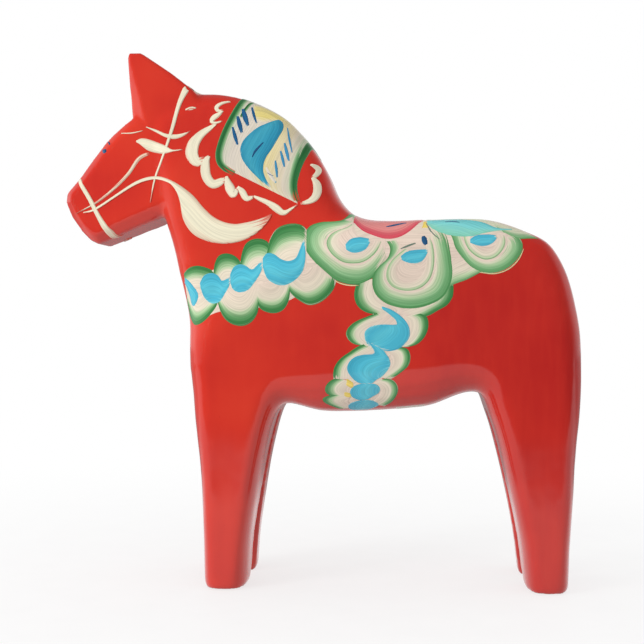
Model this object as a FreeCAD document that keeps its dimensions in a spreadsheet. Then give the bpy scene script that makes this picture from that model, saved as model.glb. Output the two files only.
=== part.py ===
"""A painted wooden horse on four straight legs, in millimetres.

The frame: the soles stand on z = 0, the head points to -X and the horse's left side faces -Y.
The origin is on the sole plane, under the middle of the horse's box.

The horse is one carved block of pine, a coat of red paint over all of it but the soles,
and brush strokes laid on that coat. The block is a fuse of blanks: each is sawn to its
outline in the side view and has its edges rounded over towards two flat flanks. The coat
and the stroke layer are the same block grown by the paint's thickness.
"""

import FreeCAD, Part
import math
import os

Vector = FreeCAD.Vector

SIZES = {
    # edge rounding, measured across the horse
    "trunk_edge": 11.0,
    "neck_edge": 9.0,
    "head_edge": 3.2,
    # half widths of the flat flanks, each at a level or a station below
    "foot_half": 25.2,
    "foot_level": 0.0,
    "back_half": 28.6,
    "back_level": 137.0,
    "chest_half": 27.2,
    "chest_level": 86.0,
    "poll_half": 13.6,
    "poll_level": 186.0,
    "cheek_half": 15.6,
    "cheek_station": -58.0,
    "muzzle_half": 10.4,
    "muzzle_station": -97.0,
    # the slot between the two legs of a pair, sawn through from chest to rump
    "slot_foot_half": 8.0,
    "slot_top_half": 4.0,
    "slot_height": 65.0,
    "slot_start": -60.0,
    "slot_end": 110.0,
    # the blanks run this far below the soles before they are sawn flat
    "foot_allowance": 4.0,
    # ears, from the middle plane
    "ear_root_inner": 0.8,
    "ear_root_outer": 14.0,
    "ear_tip_inner": 5.6,
    "ear_tip_outer": 12.0,
    "ear_bevel": 0.8,
    "ear_facet": 3.8,
    # paint
    "coat_thickness": 0.35,
    "stroke_thickness": 0.15,
    "sole_rim": 0.3,
    # a block that holds the whole horse
    "room": 150.0,
    # the paper label under the belly
    "label_length": 11.0,
    "label_width": 17.0,
    "label_station": 29.6,
    "label_side": -19.5,
    "label_bottom": 58.0,
    "label_height": 16.0,
}

# The paint that each layer of the horse has over the bare wood.
LAYERS = {
    "wood": [],
    "coat": ["coat_thickness"],
    "stroke": ["coat_thickness", "stroke_thickness"],
}

CORNER = "corner"
RUN_LENGTH = 5
ROUNDING_ANGLES = (0.0, 22.5, 45.0, 67.5, 90.0)
BEVEL_ANGLES = (0.0, 90.0)

# Outlines in the side view: x, z, how far the flat flank lies inside the edge, and a mark
# where the outline turns a corner.
TRUNK_OUTLINE = [
    (-47.4, 92, 9), (-43.5, 106, 12), (-29, 119, 13), (-9, 130.5, 13), (14, 136.2, 12),
    (31, 136, 12), (50, 136, 12), (67.4, 135, 12), (78.6, 131, 12), (85.2, 127.3, 12),
    (89.2, 122, 12), (92.4, 115, 11), (95, 104.5, 10), (96.8, 93.4, 9), (97.3, 82, 8),
    (97, 70, 7), (96, 58, 6), (95, 46, 5), (94, 31, 4.5), (93.2, 16, 4.5),
    (92.3, -4, 4.5, CORNER), (78.3, -4, 4.5, CORNER),
    (76.1, 15, 4.5), (73.5, 29.8, 4.5), (70.2, 44, 5), (66.8, 58, 6), (63.6, 67.4, 7),
    (60.8, 72.4, 8), (56, 73, 11), (45, 69.2, 14), (31, 66.8, 15), (12, 65.8, 15),
    (0, 66.2, 14), (-8, 68.2, 11), (-12.4, 68, 9), (-15.4, 64.6, 7), (-18.3, 55.6, 6),
    (-21.2, 42, 5), (-23.3, 29.5, 4.5), (-25, 16, 4.5),
    (-26.5, -4, 4.5, CORNER), (-41.4, -4, 4.5, CORNER),
    (-42, 17, 4.5), (-42.4, 32, 4.5), (-43.6, 47, 5), (-44.9, 60, 6), (-46.1, 75, 7),
]
NECK_OUTLINE = [
    (-46, 88, 8), (-47.4, 98, 9), (-49.6, 108, 9), (-52.4, 120, 9), (-55, 130, 9),
    (-58.4, 140, 9), (-61, 150, 9), (-64, 161, 8), (-65.6, 170, 8), (-63.6, 179, 8),
    (-55, 184.6, 8), (-44.7, 186.4, 8), (-36, 185.8, 8), (-24, 182.2, 8), (-14.1, 177, 8),
    (-6.5, 169.8, 8), (0.6, 160.2, 8), (4.1, 153.7, 8), (8.2, 144.8, 8), (15, 137.4, 9),
    (27, 130, 9), (26, 116, 9), (8, 100, 9), (-16, 88, 9), (-36, 80, 8),
]
HEAD_OUTLINE = [
    (-51, 145, 4), (-58.2, 139.6, 4), (-70, 135, 4), (-77, 132, 4), (-84.6, 128.9, 3),
    (-87.6, 130.4, 2.6), (-91, 133.7, 2.6), (-95.2, 139.4, 2.6), (-97.7, 144.9, 2.6),
    (-97.4, 148.2, 2.6), (-91.7, 154.5, 3), (-87, 160.4, 3), (-81.8, 166.6, 3),
    (-78, 170.4, 3), (-71.8, 175.4, 3), (-62, 177, 3),
]

# Sections of an ear, root to tip: front and back end as (x, z), and how far the section
# has gone from the root's widths to the tip's.
EAR_SECTIONS = [
    ((-69.7, 168), (-42, 176), 0.0),
    ((-71, 181), (-46.8, 186.2), 0.2),
    ((-71.8, 192.6), (-56.4, 193.4), 0.65),
    ((-72.4, 200.9), (-67.6, 200.9), 1.0),
]

# Brush strokes in the order they were painted. A ribbon follows (x, z, width) points, and
# a patch is a closed outline of (x, z) points. A band runs round both sides of the horse,
# and a pair is one stroke on each side.
BAND = "band"
PAIR = "pair"
RIBBONS = {
    "breast_garland": (PAIR, [
        (-54, 107.4, 21), (-42.3, 108.4, 22.5), (-30, 110.8, 27), (-18.5, 115.5, 28.5),
        (-7, 120.5, 30),
    ]),
    "girth_scallops": (PAIR, [
        (31, 108, 32), (26.6, 95.7, 30), (20.8, 83.5, 28), (18.3, 74.6, 25), (17, 62, 24),
    ]),
    "turquoise_leaf": (PAIR, [
        (42, 134.6, 0.8), (48, 132.6, 3.6), (56, 131.4, 4.2), (64, 132, 3), (72, 133, 0.6),
    ]),
    "rear_leaf": (PAIR, [(66.6, 135.4, 0.8), (74, 131.6, 4), (82, 128.6, 0.8)]),
    "front_petal_spot": (PAIR, [(11.2, 126.9, 3.6), (15.6, 126.7, 5.4), (20, 126.4, 3.4)]),
    "middle_petal_spot": (PAIR, [(31.2, 123, 2.8), (36.3, 123, 4.7), (41.4, 123.4, 2.6)]),
    "rear_petal_spot": (PAIR, [(55.4, 128, 2.2), (60.5, 128.3, 3.6), (65.6, 128, 2.2)]),
    "breast_wave": (PAIR, [
        (-49, 107.6, 4), (-44, 109.5, 8), (-37.6, 110.6, 9), (-26.2, 114.4, 9.5),
        (-13, 117, 9.5), (-6, 123, 5), (-4.4, 130, 1.2),
    ]),
    "girth_wave": (PAIR, [
        (25, 104, 1), (32, 100, 3), (31, 94, 9), (23.5, 88, 9), (20, 81, 12),
        (18.2, 73, 12), (17.6, 64, 10),
    ]),
    "mane_front_border": (PAIR, [
        (-25.6, 185, 1.8), (-31, 176, 1.8), (-34.6, 167, 1.8), (-35.5, 160, 1.8),
        (-33.5, 155.7, 1.2),
    ]),
    "mane_rear_border": (PAIR, [
        (1, 168.4, 3.4), (-5.2, 161, 3.4), (-8, 154.6, 3.4), (-8.6, 149.3, 3.2),
        (-7.6, 144, 1.4),
    ]),
    "mane_front_dashes": (PAIR, [(-30.8, 168.3, 2.4), (-28.6, 172.1, 2.8), (-26, 177, 1)]),
    "mane_rear_dashes": (PAIR, [(-14.8, 155.9, 2.6), (-12.4, 160, 2.6), (-10.4, 165, 1)]),
    "mane_wave": (PAIR, [
        (-33, 181.8, 1), (-37.8, 180, 2), (-37, 176.8, 2.4), (-39.4, 173.4, 2.6),
        (-45.2, 168, 3), (-47.6, 162.6, 3.4), (-43.4, 158.6, 3.6), (-40.4, 153, 3.2),
        (-35.8, 150.6, 3.4), (-31, 148.6, 3.2), (-25.7, 145.8, 3), (-18.4, 143.6, 3),
        (-12.2, 140.4, 2.4), (-6.6, 142, 1),
    ]),
    "mane_hook": (PAIR, [
        (-1.8, 157.4, 0.8), (0.6, 155.4, 2.2), (-0.4, 151.6, 2.4), (0.4, 147.8, 2.6),
        (-1.2, 144.2, 2.4), (-5.2, 142.4, 0.8),
    ]),
    "noseband": (BAND, [
        (-94.4, 157.8, 1.4), (-88.4, 147.6, 1.6), (-84, 140.3, 2.4), (-78.4, 132.2, 3.2),
        (-74.6, 126.6, 3.4),
    ]),
    "headstall": (PAIR, [
        (-48.6, 189, 2.6), (-51.3, 183.6, 2.4), (-55.2, 170.9, 1.9), (-57.5, 160.9, 1.5),
        (-61, 152.6, 1.1), (-63.4, 142.6, 0.6),
    ]),
    "cheek_line": (PAIR, [
        (-63.8, 162.3, 1.3), (-67.7, 159.8, 1.3), (-77.6, 150.1, 1), (-84.2, 145.3, 0.8),
    ]),
    "rein": (PAIR, [
        (-82.4, 142.4, 1), (-77.6, 145.5, 1.5), (-70, 150.2, 1.5), (-62.8, 152.8, 1.5),
        (-56, 151.8, 1.7), (-50.5, 147, 2.6), (-45.4, 139.6, 5), (-40, 134, 6.6),
        (-33, 131.4, 7.2), (-26, 132.2, 6.2), (-20.9, 134.8, 3.8), (-15.9, 138.8, 0.8),
    ]),
    "brow_stroke": (PAIR, [
        (-64.5, 172.6, 0.5), (-60.2, 170.2, 1.3), (-56.2, 168.7, 1.8), (-52, 168.6, 1.4),
        (-47.9, 170.4, 0.5),
    ]),
    "eye_stroke": (PAIR, [
        (-68.5, 167.4, 0.5), (-63, 165.7, 2.6), (-57.6, 163.8, 3.2), (-53.4, 163.2, 2),
        (-50.4, 163.5, 0.5),
    ]),
    "forelock_line": (PAIR, [(-74.8, 170.6, 0.6), (-70.5, 170.5, 0.6), (-66.1, 171.1, 0.6)]),
    "forehead_marks": (PAIR, [(-80.6, 165.8, 1.2), (-81.6, 163.9, 1.8), (-82.4, 162.2, 1)]),
}
PATCHES = {
    "front_petal": (PAIR, [
        (13, 138.6), (2.3, 137.4), (-2.4, 131.6), (-3.5, 127.5), (-1.2, 122), (5.4, 114.6),
        (11.6, 112.4), (20, 113.1), (26.9, 122), (25, 138.4),
    ]),
    "rear_petal": (PAIR, [
        (50.4, 128), (53.3, 122.5), (58.7, 117.8), (64.4, 116.3), (70.5, 118.8),
        (75.2, 124.2), (71, 131.6), (60, 134), (52, 133),
    ]),
    "middle_petal": (PAIR, [
        (27.6, 126.6), (21.8, 116.1), (22.9, 109.5), (29.4, 104.8), (36.7, 103.3),
        (45, 106.6), (49.6, 112.4), (50.4, 118.9), (48.6, 129.1), (40, 132.6),
    ]),
    "saddle_rose": (BAND, [
        (13, 140), (16, 134.6), (25.4, 128.6), (34, 130.6), (39.5, 135), (41, 140),
    ]),
    "mane_panel": (BAND, [
        (-22, 189), (-31, 176), (-35.3, 166), (-35.5, 158.7), (-30, 153.4), (-20.6, 149.1),
        (-14.2, 144.8), (-7.4, 142.6), (-8, 150), (-5, 160), (6, 172),
    ]),
    "mane_drop": (PAIR, [
        (-14.7, 175), (-12.5, 173), (-14.6, 166.2), (-18.6, 159.3), (-20, 154.4),
        (-24.8, 154.4), (-28, 159.4), (-28.8, 164), (-27.4, 168.2), (-23.7, 171.3),
    ]),
}
PAINTING_ORDER = [
    "breast_garland", "girth_scallops", "front_petal", "rear_petal", "middle_petal",
    "saddle_rose", "rear_leaf", "turquoise_leaf", "front_petal_spot", "middle_petal_spot",
    "rear_petal_spot", "breast_wave", "girth_wave", "mane_wave", "mane_hook", "mane_panel",
    "mane_front_border", "mane_rear_border", "mane_drop", "mane_front_dashes",
    "mane_rear_dashes", "headstall", "brow_stroke", "eye_stroke", "forelock_line",
    "cheek_line", "rein", "noseband", "forehead_marks",
]


def make_sheet(doc):
    """The spreadsheet of driving dimensions, one aliased cell to a row."""
    sheet = doc.addObject("Spreadsheet::Sheet", "Sizes")
    for row, (alias, number) in enumerate(SIZES.items(), start=1):
        sheet.set(f"A{row}", alias)
        sheet.set(f"B{row}", str(number))
        sheet.setAlias(f"B{row}", alias)
    doc.recompute()
    return sheet


def add_feature(doc, name, shape):
    """A feature that holds a shape made in code."""
    feature = doc.addObject("Part::Feature", name)
    feature.Shape = shape
    return feature


def combine(doc, kind, name, base, tool):
    """A Part::Fuse, Part::Cut or Part::Common of two objects."""
    result = doc.addObject(f"Part::{kind}", name)
    result.Base = base
    result.Tool = tool
    result.Refine = False
    return result


def slope(sheet, here, there, here_half, there_half):
    """A half width that changes evenly from one level or station to another."""
    start = sheet.get(here)
    rate = (sheet.get(there_half) - sheet.get(here_half)) / (sheet.get(there) - start)
    return lambda place: sheet.get(here_half) + rate * (place - start)


def outward_normals(outline):
    """Normals of an outline at its points, mitred so that a corner's edges keep their inset."""
    points = [Vector(p[0], 0, p[1]) for p in outline]
    normals = []
    for i, here in enumerate(points):
        before = (here - points[i - 1]).normalize()
        after = (points[(i + 1) % len(points)] - here).normalize()
        side_before = Vector(-before.z, 0, before.x)
        side_after = Vector(-after.z, 0, after.x)
        middle = (side_before + side_after).normalize()
        normals.append(middle * (1 / max(0.5, middle.dot(side_after))))
    twice_area = sum(
        points[i - 1].x * points[i].z - points[i].x * points[i - 1].z
        for i in range(len(points))
    )
    if twice_area > 0:
        normals = [normal * -1 for normal in normals]
    return normals


def smooth_wire(points, corners):
    """A closed wire of short splines that share their tangents, except at corners."""
    count = len(points)
    near_corner = {(c + step) % count for c in corners for step in (-1, 1)}
    breaks = set(range(0, count, RUN_LENGTH)) - near_corner | set(corners) | {0}
    breaks = sorted(breaks) + [count]
    edges = []
    for first, last in zip(breaks, breaks[1:]):
        run = [points[k % count] for k in range(first, last + 1)]
        if len(run) == 2:
            edges.append(Part.makeLine(run[0], run[1]))
            continue
        start = run[1] - points[first - 1]
        end = points[(last + 1) % count] - run[-2]
        if first in corners:
            start = run[1] - run[0]
        if last % count in corners:
            end = run[-1] - run[-2]
        curve = Part.BSplineCurve()
        curve.interpolate(run, InitialTangent=start, FinalTangent=end)
        edges.append(curve.toShape())
    return Part.Wire(edges)


def blank_shape(outline, half_width, edge, angles, grow, smooth):
    """A board sawn to an outline, with its edges rounded over through the given angles.

    Each section is the outline drawn in towards the flank, in a plane that leans with the
    flank, so the loft's ends are flat.
    """
    normals = outward_normals(outline)
    corners = [i for i, point in enumerate(outline) if CORNER in point]
    sections = []
    turns = [(-1, a) for a in reversed(angles)] + [(1, a) for a in angles]
    for side, angle in turns:
        inward, across = math.cos(math.radians(angle)), math.sin(math.radians(angle))
        ring = []
        for point, normal in zip(outline, normals):
            step = grow * inward - point[2] * (1 - inward)
            place = Vector(point[0], 0, point[1]) + normal * step
            out = half_width(place) - edge * (1 - across) + grow * across
            ring.append(Vector(place.x, side * out, place.z))
        if smooth:
            sections.append(smooth_wire(ring, corners))
        else:
            sections.append(Part.makePolygon(ring + ring[:1]))
    return Part.makeLoft(sections, True, True)


def trunk_shape(sheet, grow):
    """Trunk and legs in one board, thinner towards the feet."""
    half = slope(sheet, "foot_level", "back_level", "foot_half", "back_half")
    edge = sheet.get("trunk_edge")
    return blank_shape(
        TRUNK_OUTLINE, lambda p: half(p.z), edge, ROUNDING_ANGLES, grow, True
    )


def neck_shape(sheet, grow):
    """The neck, thinner towards the poll."""
    half = slope(sheet, "chest_level", "poll_level", "chest_half", "poll_half")
    edge = sheet.get("neck_edge")
    return blank_shape(NECK_OUTLINE, lambda p: half(p.z), edge, ROUNDING_ANGLES, grow, True)


def head_shape(sheet, grow):
    """The head, cut in flat facets and thinner towards the muzzle."""
    half = slope(sheet, "cheek_station", "muzzle_station", "cheek_half", "muzzle_half")
    edge = sheet.get("head_edge")
    return blank_shape(HEAD_OUTLINE, lambda p: half(p.x), edge, BEVEL_ANGLES, grow, False)


def ear_section(sheet, front, back, share, grow, rise):
    """One section of the right ear: a rectangle with bevelled corners.

    The front outer corner's bevel widens from the tip to a broad facet at the root.
    """
    inner = sheet.get("ear_root_inner") * (1 - share) + sheet.get("ear_tip_inner") * share
    outer = sheet.get("ear_root_outer") * (1 - share) + sheet.get("ear_tip_outer") * share
    inner -= grow
    outer += grow
    bevel = sheet.get("ear_bevel")
    facet = bevel + (sheet.get("ear_facet") - bevel) * (1 - share) ** 2
    start, end = front[0] - grow, back[0] + grow
    lean = (back[1] - front[1]) / (back[0] - front[0])
    ring = [
        (start, inner + bevel), (start + bevel, inner), (end, inner), (end, outer - bevel),
        (end - bevel, outer), (start + facet, outer), (start, outer - facet),
    ]
    points = [Vector(x, y, front[1] + rise + lean * (x - front[0])) for x, y in ring]
    return Part.makePolygon(points + points[:1])


def ear_shape(sheet, grow):
    """The right ear, a wedge that leans forward and has a flat tip."""
    sections = []
    for front, back, share in EAR_SECTIONS:
        rise = grow if share == 1.0 else 0.0
        sections.append(ear_section(sheet, front, back, share, grow, rise))
    return Part.makeLoft(sections, True, True)


def make_slot(doc, name, growth):
    """The wedge sawn out between the legs, narrower by the paint on both of its walls."""
    slot = doc.addObject("Part::Wedge", name)
    bounds = {
        "Xmin": f"-(Sizes.slot_foot_half - ({growth}))",
        "Xmax": f"Sizes.slot_foot_half - ({growth})",
        "X2min": f"-(Sizes.slot_top_half - ({growth}))",
        "X2max": f"Sizes.slot_top_half - ({growth})",
        "Ymin": "-2 * Sizes.foot_allowance",
        "Ymax": f"Sizes.slot_height - ({growth})",
        "Zmin": "Sizes.slot_start",
        "Zmax": "Sizes.slot_end",
        "Z2min": "Sizes.slot_start",
        "Z2max": "Sizes.slot_end",
    }
    for side, text in bounds.items():
        slot.setExpression(side, text)
    # The wedge's own axes turn over in a ring: its X to Y, its Y to Z and its Z to X.
    slot.Placement = FreeCAD.Placement(Vector(), FreeCAD.Rotation(Vector(1, 1, 1), 120))
    return slot


def make_room(doc, name, floor):
    """A box that holds all of the horse above a floor level."""
    room = doc.addObject("Part::Box", name)
    room.setExpression("Length", "2 * Sizes.room")
    room.setExpression("Width", "2 * Sizes.room")
    room.setExpression("Height", "2 * Sizes.room")
    room.setExpression(".Placement.Base.x", "-Sizes.room")
    room.setExpression(".Placement.Base.y", "-Sizes.room")
    room.setExpression(".Placement.Base.z", floor)
    return room


def make_horse(doc, sheet, layer, floor):
    """The whole block grown by one layer's thickness and sawn flat at a floor level."""
    growth = " + ".join(f"Sizes.{name}" for name in LAYERS[layer]) or "0"
    grow = sum(sheet.get(name) for name in LAYERS[layer])
    trunk = add_feature(doc, f"{layer}_trunk", trunk_shape(sheet, grow))
    neck = add_feature(doc, f"{layer}_neck", neck_shape(sheet, grow))
    head = add_feature(doc, f"{layer}_head", head_shape(sheet, grow))
    right_ear = add_feature(doc, f"{layer}_right_ear", ear_shape(sheet, grow))
    left_ear = doc.addObject("Part::Mirroring", f"{layer}_left_ear")
    left_ear.Source = right_ear
    left_ear.Normal = Vector(0, 1, 0)
    joined = head
    for piece in (right_ear, left_ear, neck, trunk):
        joined = combine(doc, "Fuse", f"{piece.Name}_joined", joined, piece)
    slot = make_slot(doc, f"{layer}_slot", growth)
    legged = combine(doc, "Cut", f"{layer}_legs", joined, slot)
    room = make_room(doc, f"{layer}_room", floor)
    return combine(doc, "Common", f"{layer}_horse", legged, room)


def ribbon_face(points):
    """A brush stroke's outline: two splines at half the width either side of its line."""
    line = Part.BSplineCurve()
    middle = [Vector(x, 0, z) for x, z, _ in points]
    line.interpolate(middle)
    sides = ([], [])
    for place, (_, _, width) in zip(middle, points):
        along = line.tangent(line.parameter(place))[0]
        across = Vector(-along.z, 0, along.x) * (width / 2)
        sides[0].append(place + across)
        sides[1].append(place - across)
    edges = []
    for side in (sides[0], sides[1][::-1]):
        curve = Part.BSplineCurve()
        curve.interpolate(side)
        edges.append(curve.toShape())
    ends = [
        Part.makeLine(sides[0][-1], sides[1][-1]),
        Part.makeLine(sides[1][0], sides[0][0]),
    ]
    return Part.Face(Part.Wire([edges[0], ends[0], edges[1], ends[1]]))


def patch_face(points):
    """A closed, smooth outline filled with paint."""
    curve = Part.BSplineCurve()
    curve.interpolate([Vector(x, 0, z) for x, z in points], PeriodicFlag=True)
    return Part.Face(Part.Wire([curve.toShape()]))


def stroke_faces():
    """Each stroke's outline less what later strokes cover."""
    whole = {name: ribbon_face(points) for name, (_, points) in RIBBONS.items()}
    whole.update({name: patch_face(points) for name, (_, points) in PATCHES.items()})
    seen = {}
    for rank, name in enumerate(PAINTING_ORDER):
        face = whole[name]
        for later in PAINTING_ORDER[rank + 1:]:
            if face.BoundBox.intersect(whole[later].BoundBox):
                face = face.cut(whole[later])
        seen[name] = face
    return seen


def make_stroke(doc, name, face, kind, layer):
    """One stroke as solids in the stroke layer. Returns its labelled objects."""
    outline = add_feature(doc, f"{name}_outline", face)
    prism = doc.addObject("Part::Extrusion", f"{name}_prism")
    prism.Base = outline
    prism.DirMode = "Custom"
    prism.Dir = Vector(0, -1, 0)
    prism.Solid = True
    prism.setExpression("LengthFwd", "Sizes.room")
    if kind == BAND:
        prism.setExpression("LengthRev", "Sizes.room")
        band = combine(doc, "Common", name, layer, prism)
        band.Label = name
        return [band]
    left = combine(doc, "Common", f"left_{name}", layer, prism)
    left.Label = f"left_{name}"
    right = doc.addObject("Part::Mirroring", f"right_{name}")
    right.Source = left
    right.Normal = Vector(0, 1, 0)
    right.Label = f"right_{name}"
    return [left, right]


def make_label(doc, layer):
    """The plain paper label on the belly's lower left edge."""
    block = doc.addObject("Part::Box", "belly_label_block")
    block.setExpression("Length", "Sizes.label_length")
    block.setExpression("Width", "Sizes.label_width")
    block.setExpression("Height", "Sizes.label_height")
    block.setExpression(".Placement.Base.x", "Sizes.label_station")
    block.setExpression(".Placement.Base.y", "Sizes.label_side")
    block.setExpression(".Placement.Base.z", "Sizes.label_bottom")
    label = combine(doc, "Common", "belly_label", layer, block)
    label.Label = "belly_label"
    return label


def check(doc, pieces):
    """Stops if an object failed or a piece's shape can't be used."""
    for item in doc.Objects:
        if {"Invalid", "Error"} & set(item.State):
            raise RuntimeError(f"{item.Name} failed: {item.State}")
    for piece in pieces:
        shape = piece.Shape
        if shape.isNull() or not shape.isValid() or not shape.Solids:
            raise RuntimeError(f"{piece.Label} has no valid solid")


def main():
    """Builds the document and writes each piece's own file."""
    doc = FreeCAD.newDocument("wooden_horse")
    sheet = make_sheet(doc)
    wood = make_horse(doc, sheet, "wood", "0")
    wood.Label = "pine_body"
    coated = make_horse(doc, sheet, "coat", "Sizes.sole_rim")
    painted = make_horse(doc, sheet, "stroke", "Sizes.sole_rim")
    coat = combine(doc, "Cut", "red_coat", coated, wood)
    coat.Label = "red_coat"
    layer = combine(doc, "Cut", "stroke_layer", painted, coated)
    pieces = [wood, coat, make_label(doc, layer)]
    kinds = {name: kind for name, (kind, _) in (RIBBONS | PATCHES).items()}
    for name, face in stroke_faces().items():
        pieces += make_stroke(doc, name, face, kinds[name], layer)
    doc.recompute()
    check(doc, pieces)
    os.makedirs("parts", exist_ok=True)
    for piece in pieces:
        piece.Shape.exportStep(f"parts/{piece.Label}.step")


main()
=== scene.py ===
"""Looks of a painted wooden horse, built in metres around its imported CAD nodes.

The CAD's wooden body is remeshed and smoothed into a carved block. A red coat covers it, and
brush strokes lie on that coat. A stroke is drawn in the side view, in millimetres, as a fan
between two edges or as a line with widths. It is then laid on the coat's surface, where it
runs on over the back and under the belly, and on both sides of the horse.
"""

import math
from functools import partial

import bmesh
import bpy
import numpy as np
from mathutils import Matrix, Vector
from mathutils.bvhtree import BVHTree


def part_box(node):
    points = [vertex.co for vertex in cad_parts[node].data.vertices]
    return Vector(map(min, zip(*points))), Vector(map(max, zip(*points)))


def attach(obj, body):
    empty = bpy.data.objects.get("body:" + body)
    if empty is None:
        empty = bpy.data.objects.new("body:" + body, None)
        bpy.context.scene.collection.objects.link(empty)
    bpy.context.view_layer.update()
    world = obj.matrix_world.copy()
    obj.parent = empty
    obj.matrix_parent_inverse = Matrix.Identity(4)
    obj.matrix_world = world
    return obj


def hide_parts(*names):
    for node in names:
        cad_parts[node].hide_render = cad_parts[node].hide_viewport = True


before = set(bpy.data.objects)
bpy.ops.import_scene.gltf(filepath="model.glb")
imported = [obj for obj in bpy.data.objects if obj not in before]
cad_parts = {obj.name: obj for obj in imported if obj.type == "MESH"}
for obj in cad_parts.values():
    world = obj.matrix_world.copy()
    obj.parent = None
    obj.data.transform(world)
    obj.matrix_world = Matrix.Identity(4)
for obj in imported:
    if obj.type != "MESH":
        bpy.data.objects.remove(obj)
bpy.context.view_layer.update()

MM = 0.001
WOOD_LOW, WOOD_HIGH = (np.array(corner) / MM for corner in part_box("pine_body"))

# The carved block, in millimetres
COAT_VOXEL = 0.93
WOOD_VOXEL = 1.6
COAT_GROWTH = 0.35
WOOD_GROWTH = -0.3
SOLE_RIM = 0.3  # the bare edge of wood at each sole
CARVING_DEPTH = 0.22  # how far the knife wandered, and over what distance
CARVING_STEP = 6.5
CARVING_PASSES = 100
FOOT_PASSES = 16

# Lines in the side view, as (x, z), where parts of the blank run into each other:
# the first and the last end, how far the softening reaches, and its passes
SEAMS = [
    ((-30, 121), (14, 140), 15, 130),
    ((14, 140), (28, 134), 10, 90),
    ((-46, 90), (-45, 112), 9, 60),
    ((-58, 140), (-62, 176), 6, 14),
    ((-66, 176), (-44, 184), 5, 10),
]

# The flat cut on an ear's front outer corner, as three points of its plane: the tip, and
# the cut's two edges at the root. y is counted from the middle
EAR_FACET = [(-72.4, 12.3, 200.9), (-65.8, 13.9, 174.6), (-71.0, 9.4, 174.6)]

# Brush strokes, in millimetres
CELL = 0.5  # the mesh's grid
EDGE_WIDTH = 0.4  # the rim where the paint dips into the coat
EDGE_DIP = 0.06
UNDERSIDE = 0.16
FIRST_LAYER = 0.07
LAYER_STEP = 0.012  # each piece lies on the ones before it, and each stroke in it too
STROKE_STEP = 0.012
LABEL_THICKNESS = 0.1
EDGE_SAMPLES = 200
WIDTH_RIBS = 9
LEAST_ROWS = 8
LEAST_COLUMNS = 4
PLACE_SOFTENING = 3
NORMAL_SOFTENING = 4

# Where strokes run on over the back and under the belly: stations x, and the rim's drop
OVER_BACK = (-40.0, 92.0)
BELLY = (-8.0, 60.0)
RIM_DROP = 1.5
BACK_PROBE = 2.0  # y of the rays that find the back and the belly
BELLY_PROBE = 5.0
FAR = 300.0

# The camera, in millimetres
LENS = 64.3
EYE = (32.0, -445.0, 98.6)
TARGET = (1.0, 0.0, 98.6)

# The stage, in metres
FLOOR_RADIUS = 4.0
LIGHT_AIM = (0.0, 0.0, 0.1)

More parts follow.
